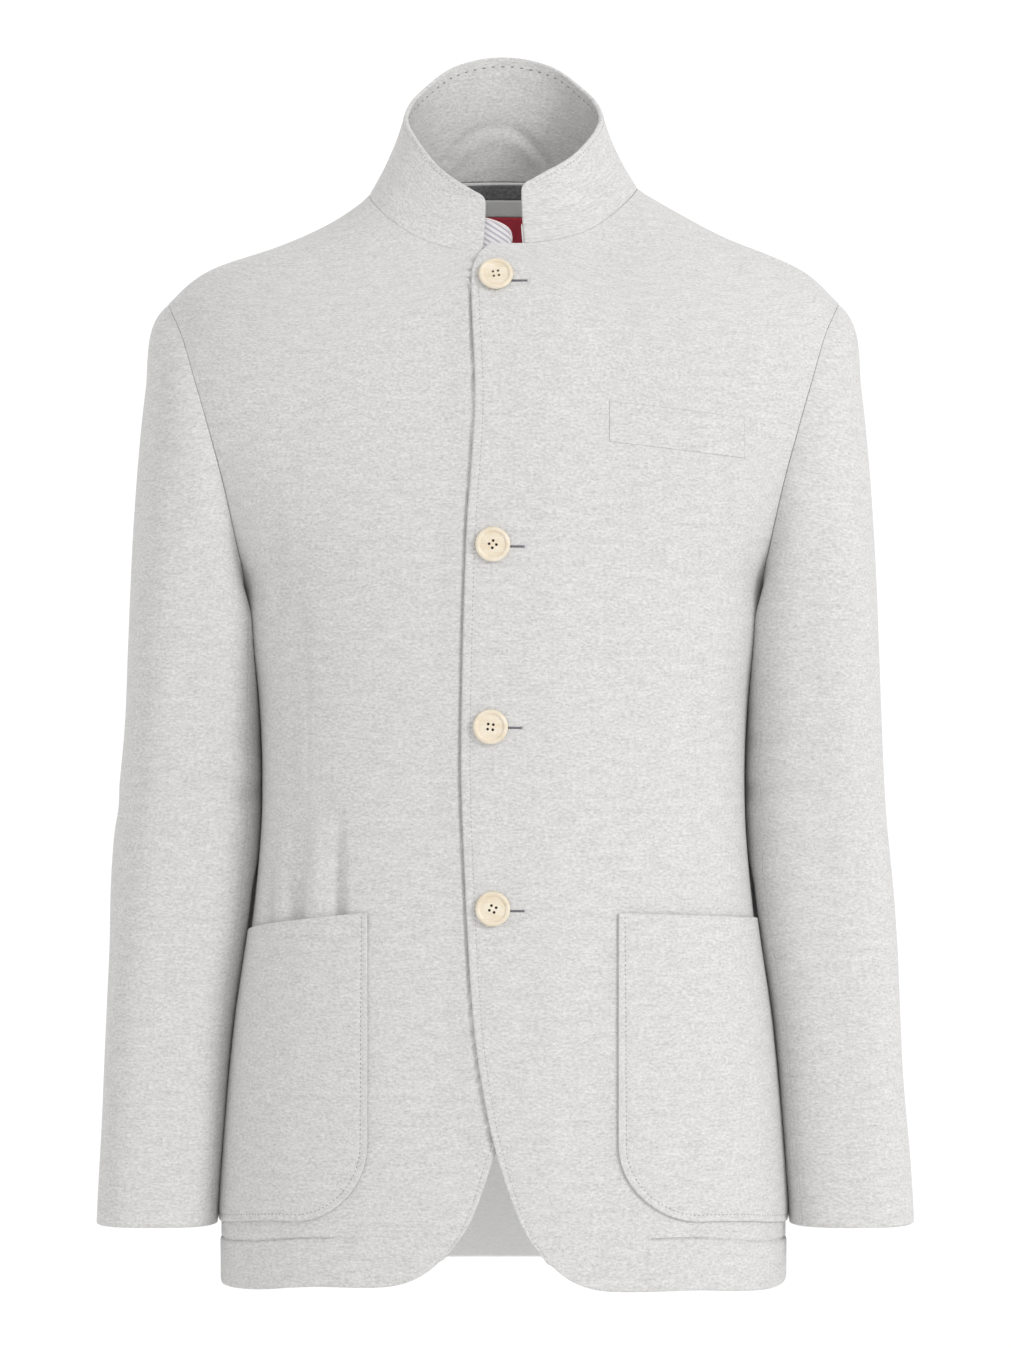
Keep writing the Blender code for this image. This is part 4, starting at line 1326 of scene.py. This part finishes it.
def tube_object(name, path, radius, material, side=1, sides=TUBE_SIDES):
    """A round cord of cloth along a path, with its ends drawn in."""
    path = np.array(path, float)
    tangents = unit(np.gradient(path, axis=0))
    up = unit(np.cross(tangents, np.cross(np.array(TUBE_UP), tangents)))
    beside = np.cross(tangents, up)
    rings = []
    for index, point in enumerate(path):
        near_end = min(index, len(path) - 1 - index)
        size = radius * TUBE_ENDS[near_end] if near_end < len(TUBE_ENDS) else radius
        for step in range(sides):
            turn = 2 * math.pi * step / sides
            rings.append(point + size * (math.cos(turn) * up[index] + math.sin(turn) * beside[index]))
    faces = []
    for ring in range(len(path) - 1):
        for step in range(sides):
            after = (step + 1) % sides
            low = ring * sides
            faces.append((low + step, low + after, low + sides + after, low + sides + step))
    faces.append(tuple(range(sides))[::-1])
    faces.append(tuple(range(len(rings) - sides, len(rings))))
    if side < 0:
        faces = [face[::-1] for face in faces]
    return new_object(name, rings, faces, material, side)


def column_run(cloth, distance, first, last):
    """Path on the outer face at that distance from the first column, over some rows."""
    from_edge = cloth.distances()[0]
    path = []
    normals = []
    for row in range(first, last):
        column = int(np.searchsorted(from_edge[row], distance))
        low = from_edge[row, column - 1]
        t = (distance - low) / (from_edge[row, column] - low)
        path.append(mix(cloth.outer[row, column - 1], cloth.outer[row, column], t))
        normals.append(cloth.normals[row, column])
    return path, normals


def collar_run(cloth, face, facing, under):
    """Path on the collar at that distance under its top edge."""
    from_top = cloth.distances()[3]
    path = []
    normals = []
    for column in range(cloth.points.shape[1]):
        place = cloth.places[0, column]
        if abs(place) > COLLAR_STITCH_END:
            continue
        row = int(np.argmax(from_top[:, column] < under))
        above = from_top[row, column]
        t = (under - above) / (from_top[row - 1, column] - above)
        path.append(mix(face[row, column], face[row - 1, column], t))
        normals.append(cloth.normals[row, column] * facing)
    return path, normals


def pocket_run(side):
    """Stitch path on a pocket: down the front edge, round both corners and up the side."""
    inset = POCKET_STITCH
    pairs = []
    top = pocket_mouth(0.0, side) - POCKET_STITCH_TOP
    corner = POCKET_BOTTOM + POCKET_FRONT_CORNER
    for t in np.linspace(0, 1, POCKET_EDGE_POINTS):
        pairs.append((inset, mix(top, corner, t)))
    for radius, centre, start in (
        (POCKET_FRONT_CORNER, POCKET_FRONT_CORNER, math.pi),
        (POCKET_SIDE_CORNER, POCKET_WIDTH - POCKET_SIDE_CORNER, 1.5 * math.pi),
    ):
        for t in np.linspace(0, 1, POCKET_CORNER_POINTS):
            turn = start + math.pi / 2 * t
            reach = radius - inset
            place = centre + reach * math.cos(turn)
            bottom = POCKET_BOTTOM - pocket_fall(place)
            pairs.append((place, bottom + radius + reach * math.sin(turn)))
        if centre == POCKET_FRONT_CORNER:
            for t in np.linspace(0, 1, POCKET_BOTTOM_POINTS)[1:-1]:
                place = mix(POCKET_FRONT_CORNER, POCKET_WIDTH - POCKET_SIDE_CORNER, t)
                pairs.append((place, POCKET_BOTTOM - pocket_fall(place) + inset))
    end = pocket_mouth(POCKET_WIDTH, side) - POCKET_STITCH_TOP
    for t in np.linspace(0, 1, POCKET_EDGE_POINTS):
        pairs.append((POCKET_WIDTH - inset, mix(POCKET_BOTTOM + POCKET_SIDE_CORNER, end, t)))
    found = [pocket_point(place, height, side) for place, height in pairs]
    path = [tuple(point - normal * POCKET_TROUGH) for point, normal in found]
    return path, [tuple(normal) for _, normal in found]


# Buttons and buttonholes
HOLE_START = 1.5
HOLE_END = 21.5
HOLE_LIP = 0.75
HOLE_LIFT = 0.1
HOLE_POINTS = 24
HOLE_STITCH_SIZE = (0.95, 0.5, 0.55)
HOLE_STITCH_SPACING = 0.5
HOLE_STITCH_TURN = 82.0
HOLE_BAR_HALF = 1.5
HOLE_BAR_POINTS = 9
HOLE_BAR_SIZE = (2.6, 0.45, 0.6)
HOLE_BAR_SPACING = 0.42
HOLE_BAR_TURN = 84.0
DRILL_DEPTH = 12.0
THREAD_SHARE = 0.85
THREAD_DEPTH = 1.2
THREAD_LIFT = 0.65
SHARP_ANGLE = math.radians(38)


def place_turned(piece, stand, material):
    """Puts a turned piece in its place on the coat, smooth but for its rims."""
    mesh = piece.data
    mesh.transform(stand)
    mesh.shade_smooth()
    mesh.set_sharp_from_angle(angle=SHARP_ANGLE)
    mesh.materials.clear()
    mesh.materials.append(material)
    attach(piece, "root")


def button_object(number, place, material, thread):
    angle = angle_at(place.across, place.height, -1)
    normal = body_normal(lapped_front, angle, place.height)
    seat = lapped_front(angle, place.height) + normal * BUTTON_SEAT
    shape = bmesh.new()
    rings = []
    for row in BUTTON_ROWS:
        ring = []
        for step in range(BUTTON_SIDES):
            turn = 2 * math.pi * step / BUTTON_SIDES
            spot = (row.radius * math.cos(turn), row.radius * math.sin(turn), row.height)
            ring.append(shape.verts.new(Vector(spot) * MM))
        rings.append(ring)
    for low, high in zip(rings, rings[1:]):
        for step in range(BUTTON_SIDES):
            after = (step + 1) % BUTTON_SIDES
            shape.faces.new((low[step], low[after], high[after], high[step]))
    shape.faces.new(reversed(rings[0]))
    shape.faces.new(rings[-1])
    turned = bpy.data.meshes.new("turned_button")
    shape.to_mesh(turned)
    shape.free()
    holes = bmesh.new()
    threads = bmesh.new()
    for x in (-BUTTON_HOLE_OFFSET, BUTTON_HOLE_OFFSET):
        for y in (-BUTTON_HOLE_OFFSET, BUTTON_HOLE_OFFSET):
            for target, radius, depth, lift in (
                (holes, BUTTON_HOLE_RADIUS, DRILL_DEPTH, 0.0),
                (threads, BUTTON_HOLE_RADIUS * THREAD_SHARE, THREAD_DEPTH, THREAD_LIFT),
            ):
                bmesh.ops.create_cone(
                    target, cap_ends=True, segments=BUTTON_HOLE_SIDES,
                    radius1=radius * MM, radius2=radius * MM, depth=depth * MM,
                    matrix=Matrix.Translation(Vector((x, y, lift)) * MM),
                )
    drill = bpy.data.meshes.new("button_holes")
    holes.to_mesh(drill)
    holes.free()
    name = "fine_button_" + str(number)
    button = bpy.data.objects.new(name, turned)
    cutter = bpy.data.objects.new("button_drill", drill)
    for item in (button, cutter):
        bpy.context.scene.collection.objects.link(item)
    cut = button.modifiers.new("holes", "BOOLEAN")
    cut.operation = "DIFFERENCE"
    cut.object = cutter
    bpy.context.view_layer.update()
    drilled = button.evaluated_get(bpy.context.evaluated_depsgraph_get())
    whole = bpy.data.meshes.new_from_object(drilled)
    button.modifiers.clear()
    button.data = whole
    bpy.data.objects.remove(cutter)
    spin = Matrix.Rotation(math.radians(place.turn), 4, "Z")
    turn = normal.to_track_quat("Z", "Y").to_matrix().to_4x4()
    stand = Matrix.Translation(seat * MM) @ turn @ spin
    place_turned(button, stand, material)
    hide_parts("button_" + str(number))
    inside = bpy.data.meshes.new("button_thread_" + str(number))
    threads.to_mesh(inside)
    threads.free()
    tied = bpy.data.objects.new(inside.name, inside)
    bpy.context.scene.collection.objects.link(tied)
    place_turned(tied, stand, thread)


def buttonhole_object(number, place, material, bar_material):
    """Worked edges of a buttonhole: close stitches across both lips, and a bar at the end."""
    height = place.height - place.hole_drop

    def spot(across, level):
        angle = angle_at(across, level, -1)
        normal = body_normal(lapped_front, angle, level)
        return tuple(lapped_front(angle, level) + normal * HOLE_LIFT), tuple(normal)

    lips = []
    for lip in (-HOLE_LIP, HOLE_LIP):
        across = np.linspace(HOLE_START, HOLE_END, HOLE_POINTS)
        lips.append(zip(*[spot(place.across + x, height + lip / 2) for x in across]))
    beads_object(
        "buttonhole_" + str(number), lips, HOLE_STITCH_SIZE, material,
        spacing=HOLE_STITCH_SPACING, turned=HOLE_STITCH_TURN,
    )
    rises = np.linspace(-HOLE_BAR_HALF, HOLE_BAR_HALF, HOLE_BAR_POINTS)
    bar = zip(*[spot(place.across + HOLE_END, height + rise) for rise in rises])
    beads_object(
        "buttonhole_bar_" + str(number), [bar], HOLE_BAR_SIZE, bar_material,
        spacing=HOLE_BAR_SPACING, turned=HOLE_BAR_TURN,
    )


# Materials
class Graph:
    """A material's nodes, added one by one."""

    def __init__(self, name):
        self.material = bpy.data.materials.new(name)
        self.material.use_nodes = True
        self.tree = self.material.node_tree
        self.shader = self.tree.nodes["Principled BSDF"]

    def put(self, socket, value):
        if isinstance(value, bpy.types.NodeSocket):
            self.tree.links.new(value, socket)
        else:
            socket.default_value = value

    def set(self, **values):
        for name, value in values.items():
            self.put(self.shader.inputs[name.replace("_", " ")], value)

    def add(self, kind, *values, **settings):
        node = self.tree.nodes.new(kind)
        for name, value in settings.items():
            setattr(node, name, value)
        for index, value in enumerate(values):
            if value is not None:
                self.put(node.inputs[index], value)
        return node

    def math(self, operation, *values):
        return self.add("ShaderNodeMath", *values, operation=operation).outputs[0]

    def cloth(self):
        return self.add("ShaderNodeAttribute", attribute_name="cloth").outputs["Vector"]

    def noise(self, vector, scales, detail=2.0, roughness=0.55):
        """Noise with its own number of cells in a metre along each axis."""
        scaled = self.add("ShaderNodeVectorMath", vector, scales, operation="MULTIPLY").outputs[0]
        node = self.add("ShaderNodeTexNoise", scaled)
        node.inputs["Scale"].default_value = 1.0
        node.inputs["Detail"].default_value = detail
        node.inputs["Roughness"].default_value = roughness
        return node.outputs[0]

    def spread(self, value, low, high):
        return self.add("ShaderNodeMapRange", value, low, high, 0.0, 1.0).outputs[0]

    def blend(self, factor, first, second):
        node = self.add("ShaderNodeMix", data_type="RGBA")
        self.put(node.inputs[0], factor)
        for socket, colour in ((node.inputs[6], first), (node.inputs[7], second)):
            self.put(socket, (*colour, 1.0) if isinstance(colour, tuple) else colour)
        return node.outputs[2]

    def bump(self, height, strength, distance):
        node = self.add("ShaderNodeBump")
        node.inputs["Strength"].default_value = strength
        node.inputs["Distance"].default_value = distance
        self.put(node.inputs["Height"], height)
        self.set(Normal=node.outputs[0])


def wool_material(name, dark, light, fleck, slub_share=0.18):
    """Melange wool: slubs and flecks lie along the weft, under a short matte nap."""
    graph = Graph(name)
    place = graph.cloth()
    slub = graph.noise(place, (62.0, 190.0, 7.0))
    flecks = graph.noise(place, (330.0, 620.0, 13.0))
    fibre = graph.noise(place, (720.0, 860.0, 23.0), 3.0, 0.7)
    strands = graph.noise(place, (230.0, 900.0, 31.0), 1.0)
    tone = graph.math("MULTIPLY_ADD", flecks, 0.40, graph.math("MULTIPLY", slub, slub_share))
    tone = graph.math("MULTIPLY_ADD", fibre, 0.60 - slub_share, tone)
    colour = graph.blend(graph.spread(tone, 0.36, 0.64), dark, light)
    dark_strands = graph.math("MULTIPLY", graph.spread(strands, 0.58, 0.76), 0.35)
    colour = graph.blend(dark_strands, colour, fleck)
    graph.set(Base_Color=colour, Roughness=0.94, Specular_IOR_Level=0.18)
    graph.set(Sheen_Weight=0.14, Sheen_Roughness=0.5)
    graph.bump(graph.math("MULTIPLY_ADD", fibre, 0.6, flecks), 0.45, 0.0005)
    return graph.material


def thread_material(name, colour):
    graph = Graph(name)
    place = graph.add("ShaderNodeTexCoord").outputs["Object"]
    twist = graph.noise(place, (2600.0, 2600.0, 2600.0), 1.0)
    pale = tuple(min(part * 1.35, 1.0) for part in colour)
    graph.set(Base_Color=graph.blend(twist, colour, pale), Roughness=0.7, Sheen_Weight=0.1)
    graph.bump(twist, 0.3, 0.0002)
    return graph.material


def button_material():
    """Cream nut: a faint cloudy tone and a fine grain."""
    graph = Graph("cream_nut")
    place = graph.add("ShaderNodeTexCoord").outputs["Object"]
    cloud = graph.noise(place, (95.0, 95.0, 210.0), 3.0)
    grain = graph.noise(place, (420.0, 420.0, 1500.0), 2.0)
    tone = graph.math("MULTIPLY_ADD", cloud, 0.65, graph.math("MULTIPLY", grain, 0.35))
    colour = graph.blend(graph.spread(tone, 0.34, 0.66), (0.76, 0.65, 0.48), (0.89, 0.81, 0.68))
    graph.set(Base_Color=colour, Roughness=graph.spread(grain, -0.6, 2.2), Coat_Weight=0.15)
    graph.set(Coat_Roughness=0.25, Subsurface_Weight=0.08)
    graph.shader.inputs["Subsurface Radius"].default_value = (0.002, 0.0014, 0.0008)
    graph.bump(grain, 0.12, 0.0002)
    return graph.material


def satin_material():
    """Dark red label: a plain satin weave, its reds lightened as painted light for the shaded inside of
    the neck.
    """
    graph = Graph("red_satin_painted_light")
    place = graph.cloth()
    weave = graph.noise(place, (420.0, 2600.0, 5.0), 1.0)
    colour = graph.blend(graph.spread(weave, 0.3, 0.7), (0.60, 0.035, 0.068), (0.80, 0.062, 0.102))
    graph.set(Base_Color=colour, Roughness=0.55, Sheen_Weight=0.2)
    graph.bump(weave, 0.3, 0.0003)
    return graph.material


STRIPE_LEAN = 0.62
STRIPE_STEPS = 260.0


def lining_material():
    """White lining with slanting lilac-grey stripes."""
    graph = Graph("striped_lining")
    place = graph.cloth()
    split = graph.add("ShaderNodeSeparateXYZ", place).outputs
    slant = graph.math("MULTIPLY_ADD", split[0], STRIPE_LEAN, split[1])
    wave = graph.math("SINE", graph.math("MULTIPLY", slant, STRIPE_STEPS * 2 * math.pi))
    weave = graph.noise(place, (1600.0, 2100.0, 3.0), 1.0)
    stripe = graph.blend(graph.spread(wave, 0.1, 0.5), (0.80, 0.78, 0.79), (0.42, 0.40, 0.46))
    colour = graph.blend(graph.math("MULTIPLY", weave, 0.25), stripe, (0.9, 0.88, 0.89))
    graph.set(Base_Color=colour, Roughness=0.5, Sheen_Weight=0.1)
    graph.bump(weave, 0.2, 0.0002)
    return graph.material


wool = wool_material("grey_melange", (0.52, 0.512, 0.506), (0.80, 0.793, 0.785), (0.38, 0.378, 0.38))
# Inner faces of the fronts and back: the paler wrong side of the cloth, lightened further as painted
# light for the shaded inside of the body and neck
wool_inside_painted_light = wool_material("inside_painted_light", (0.86, 0.855, 0.84), (0.96, 0.955, 0.94), (0.80, 0.795, 0.785))
# Neck tape and facing: their charcoal and pale grey are lightened as painted light for the shaded
# inside of the neck
felt = wool_material("charcoal_felt_painted_light", (0.115, 0.115, 0.118), (0.29, 0.29, 0.295), (0.07, 0.07, 0.073))
plain = wool_material("plain_grey_painted_light", (0.88, 0.88, 0.875), (0.95, 0.95, 0.94), (0.80, 0.80, 0.80), 0.1)
pick_thread = thread_material("pick_thread", (0.22, 0.22, 0.225))
edge_thread = thread_material("edge_thread", (0.36, 0.357, 0.355))
bar_thread = thread_material("bar_thread", (0.60, 0.595, 0.60))
white_cloth = thread_material("white_cloth", (0.80, 0.79, 0.78))
hole_thread = thread_material("buttonhole_thread", (0.16, 0.155, 0.175))
button_thread = thread_material("button_thread", (0.035, 0.03, 0.03))
piping_cloth = thread_material("piping_cloth", (0.72, 0.66, 0.66))
cream = button_material()
satin = satin_material()
lining = lining_material()

SIDES = (("left", 1), ("right", -1))


def make_fronts():
    for word, side in SIDES:
        cloth = front_cloth(side)
        cloth.press(front_relief(cloth, side))
        name = "front_" + word
        front_edge = np.full((cloth.points.shape[0], 1), FREE)
        front_edge[cloth.neck_row:] = SEWN
        edges = (front_edge, SEWN, FREE, SEWN)
        weave = (cloth.distances()[0] + cloth.points[:, :1, 0], grain(cloth.points))
        piece = cloth_object(
            "cloth_" + name, cloth, wool, 1.0 + side, edges, weave, inner_material=wool_inside_painted_light)
        run = column_run(cloth, EDGE_STITCH, EDGE_STITCH_ROW, cloth.neck_row - 2)
        stitches = beads_object("edge_stitches_" + word, [run], STITCH_SIZE, edge_thread, side)
        stand_for(name, "wool", cloth)


def make_back():
    cloth = back_cloth()
    cloth.press(crease_relief(cloth.points[..., 0], cloth.points[..., 2], BACK_CREASES))
    weave = (cloth.distances()[0] + cloth.points[:, :1, 0], grain(cloth.points))
    edges = (SEWN, SEWN, FREE, SEWN)
    piece = cloth_object("cloth_back", cloth, wool, 3.0, edges, weave, inner_material=wool_inside_painted_light)
    stand_for("back", "wool", cloth)


def make_sleeves():
    half_gap = math.degrees(SEAM_GAP / 2 / SLEEVE_ROWS[0].half_width)
    upper = (FOREARM_SEAM + half_gap, HINDARM_SEAM - half_gap, UPPER_SLEEVE_WIDTH)
    under = (HINDARM_SEAM + half_gap, FOREARM_SEAM - half_gap + 360, UNDER_SLEEVE_WIDTH)
    for word, side in SIDES:
        for part, span, creases, seed in (
            ("upper", upper, UPPER_SLEEVE_CREASES, 6.0),
            ("under", under, UNDER_SLEEVE_CREASES, 9.0),
        ):
            cloth = sleeve_cloth(side, *span)
            cloth.press(crease_relief(cloth.around, cloth.points[..., 2], creases[side]))
            name = part + "_sleeve_" + word
            piece = cloth_object("cloth_" + name, cloth, wool, seed + side, (SEWN, SEWN, SEWN, FREE))
            stand_for(name, "wool", cloth)


def make_collar():
    cloth = collar_cloth()
    from_top = cloth.distances()[3]
    trough = bump(from_top, COLLAR_STITCH, STITCH_TROUGH_HALF) * STITCH_TROUGH
    from_end = np.minimum(*cloth.distances()[:2])
    trough *= ease(*COLLAR_TROUGH_START, from_end)
    cloth.press(-trough)
    trough += collar_arch(cloth)
    weave = (cloth.distances()[0], cloth.distances()[2])
    piece = cloth_object("cloth_collar", cloth, wool, 12.0, (FREE, FREE, SEWN, FREE), weave, trough)
    inside = collar_run(cloth, cloth.inner, -1, COLLAR_STITCH)
    outside = collar_run(cloth, cloth.outer, 1, COLLAR_OUTER_STITCH)
    inner_stitches = beads_object(
        "collar_inner_stitches", [inside], COLLAR_STITCH_SIZE, pick_thread,
        spacing=COLLAR_STITCH_SPACING,
    )
    stitches = beads_object("collar_stitches", [outside], STITCH_SIZE, edge_thread)
    end = cloth.outer[:, -1]
    end = end[(end[:, 2] > NECK_PIPING[0]) & (end[:, 2] < NECK_PIPING[1])]
    piping = tube_object("neck_piping", end + NECK_PIPING_SHIFT, NECK_PIPING_RADIUS, white_cloth)
    stand_for("collar", "wool", cloth)


def make_pockets():
    for word, side in SIDES:
        cloth = pocket_cloth(side)
        name = "patch_pocket_" + word
        piece = cloth_object("cloth_" + name, cloth, wool, 14.0 + side, (FREE, FREE, FREE, FREE))
        run = pocket_run(side)
        stitches = beads_object("pocket_stitches_" + word, [run], STITCH_SIZE, pick_thread, side)
        stand_for(name, "wool", cloth)
    cloth = welt_cloth()
    along = np.linspace(0.0, 1.0, cloth.points.shape[1])[None, :]
    lower_edge = mix(WELT_FLUSH, FREE, ease(*WELT_SHOWS, along))
    edges = (FREE, WELT_FLUSH, lower_edge, WELT_FLUSH)
    piece = cloth_object("cloth_chest_welt", cloth, wool, 17.0, edges)
    stand_for("chest_welt", "wool", cloth)


def make_neck():
    for row, material, seed in zip(TRIM_ROWS, (felt, plain, satin), (19.0, 20.0, 21.0)):
        cloth = trim_cloth(row)
        piece = cloth_object("cloth_neck_" + row.name, cloth, material, seed, (FREE, FREE, FREE, FREE))
        stand_for("neck_" + row.name, row.name, cloth)
    cloth = lining_cloth()
    piece = cloth_object("cloth_neck_lining", cloth, lining, 23.0, (FREE, FREE, FREE, FREE))
    piping = tube_object("lining_piping", cloth.outer[-1], LINING_PIPING_RADIUS, piping_cloth, -1)
    stand_for("neck_lining", "lining", cloth)


def make_buttons():
    for number, place in enumerate(BUTTON_PLACES, 1):
        button_object(number, place, cream, button_thread)
        buttonhole_object(number, place, hole_thread, bar_thread)


# Stage, light and camera
FLOOR = -1.05
FLOOR_RADIUS = 2.2
FLOOR_SIDES = 96
VIEW_DISTANCE = 4000.0
PHOTO_WIDTH = 1011
PHOTO_HEIGHT = 1348
PIXEL = 0.68
PHOTO_ORIGIN = (503.5, 200.0)
SENSOR = 36.0
ROOM_LIGHT = 0.855
BACKDROP_LIGHT = 1.05
WORLD_TURN = (0.2, 0.8)
KEY_PLACE = (3.6, -3.6, 1.5)
KEY_SIZE = 1.4
KEY_POWER = 88.0
AIM = (0.0, 0.0, -0.33)


def make_stage():
    mesh = bpy.data.meshes.new("floor")
    turns = [2 * math.pi * step / FLOOR_SIDES for step in range(FLOOR_SIDES)]
    rim = [(FLOOR_RADIUS * math.cos(turn), FLOOR_RADIUS * math.sin(turn), FLOOR) for turn in turns]
    mesh.from_pydata(rim, [], [tuple(range(FLOOR_SIDES))])
    floor = bpy.data.objects.new("floor", mesh)
    bpy.context.scene.collection.objects.link(floor)
    graph = Graph("pale_floor")
    graph.set(Base_Color=(0.92, 0.92, 0.92, 1.0), Roughness=0.9)
    mesh.materials.append(graph.material)
    world = bpy.data.worlds.new("studio")
    world.use_nodes = True
    nodes = world.node_tree.nodes
    links = world.node_tree.links
    way = nodes.new("ShaderNodeTexCoord").outputs["Generated"]
    split = nodes.new("ShaderNodeSeparateXYZ")
    links.new(way, split.inputs[0])
    spread = nodes.new("ShaderNodeMapRange")
    spread.interpolation_type = "SMOOTHSTEP"
    for index, value in enumerate((WORLD_TURN[0], WORLD_TURN[1], ROOM_LIGHT, BACKDROP_LIGHT), 1):
        spread.inputs[index].default_value = value
    links.new(split.outputs[1], spread.inputs[0])
    links.new(spread.outputs[0], nodes["Background"].inputs["Strength"])
    nodes["Background"].inputs["Color"].default_value = (1.0, 1.0, 1.0, 1.0)
    bpy.context.scene.world = world
    light = bpy.data.lights.new("key", "AREA")
    light.size = KEY_SIZE
    light.energy = KEY_POWER
    key = bpy.data.objects.new("key", light)
    key.location = KEY_PLACE
    key.rotation_euler = (Vector(AIM) - key.location).to_track_quat("-Z", "Y").to_euler()
    bpy.context.scene.collection.objects.link(key)


def make_camera():
    camera = bpy.data.cameras.new("camera")
    camera.sensor_width = SENSOR
    camera.lens = SENSOR * VIEW_DISTANCE / (PHOTO_HEIGHT * PIXEL)
    camera.clip_end = 200.0
    eye = bpy.data.objects.new("camera", camera)
    across = (PHOTO_WIDTH / 2 - PHOTO_ORIGIN[0]) * PIXEL
    height = (PHOTO_ORIGIN[1] - PHOTO_HEIGHT / 2) * PIXEL
    eye.location = Vector((across, -VIEW_DISTANCE, height)) * MM
    eye.rotation_euler = (math.pi / 2, 0.0, 0.0)
    bpy.context.scene.collection.objects.link(eye)
    bpy.context.scene.camera = eye


make_fronts()
make_back()
make_sleeves()
make_collar()
make_pockets()
make_neck()
make_buttons()
make_stage()
make_camera()
bpy.context.scene.view_settings.view_transform = "Standard"
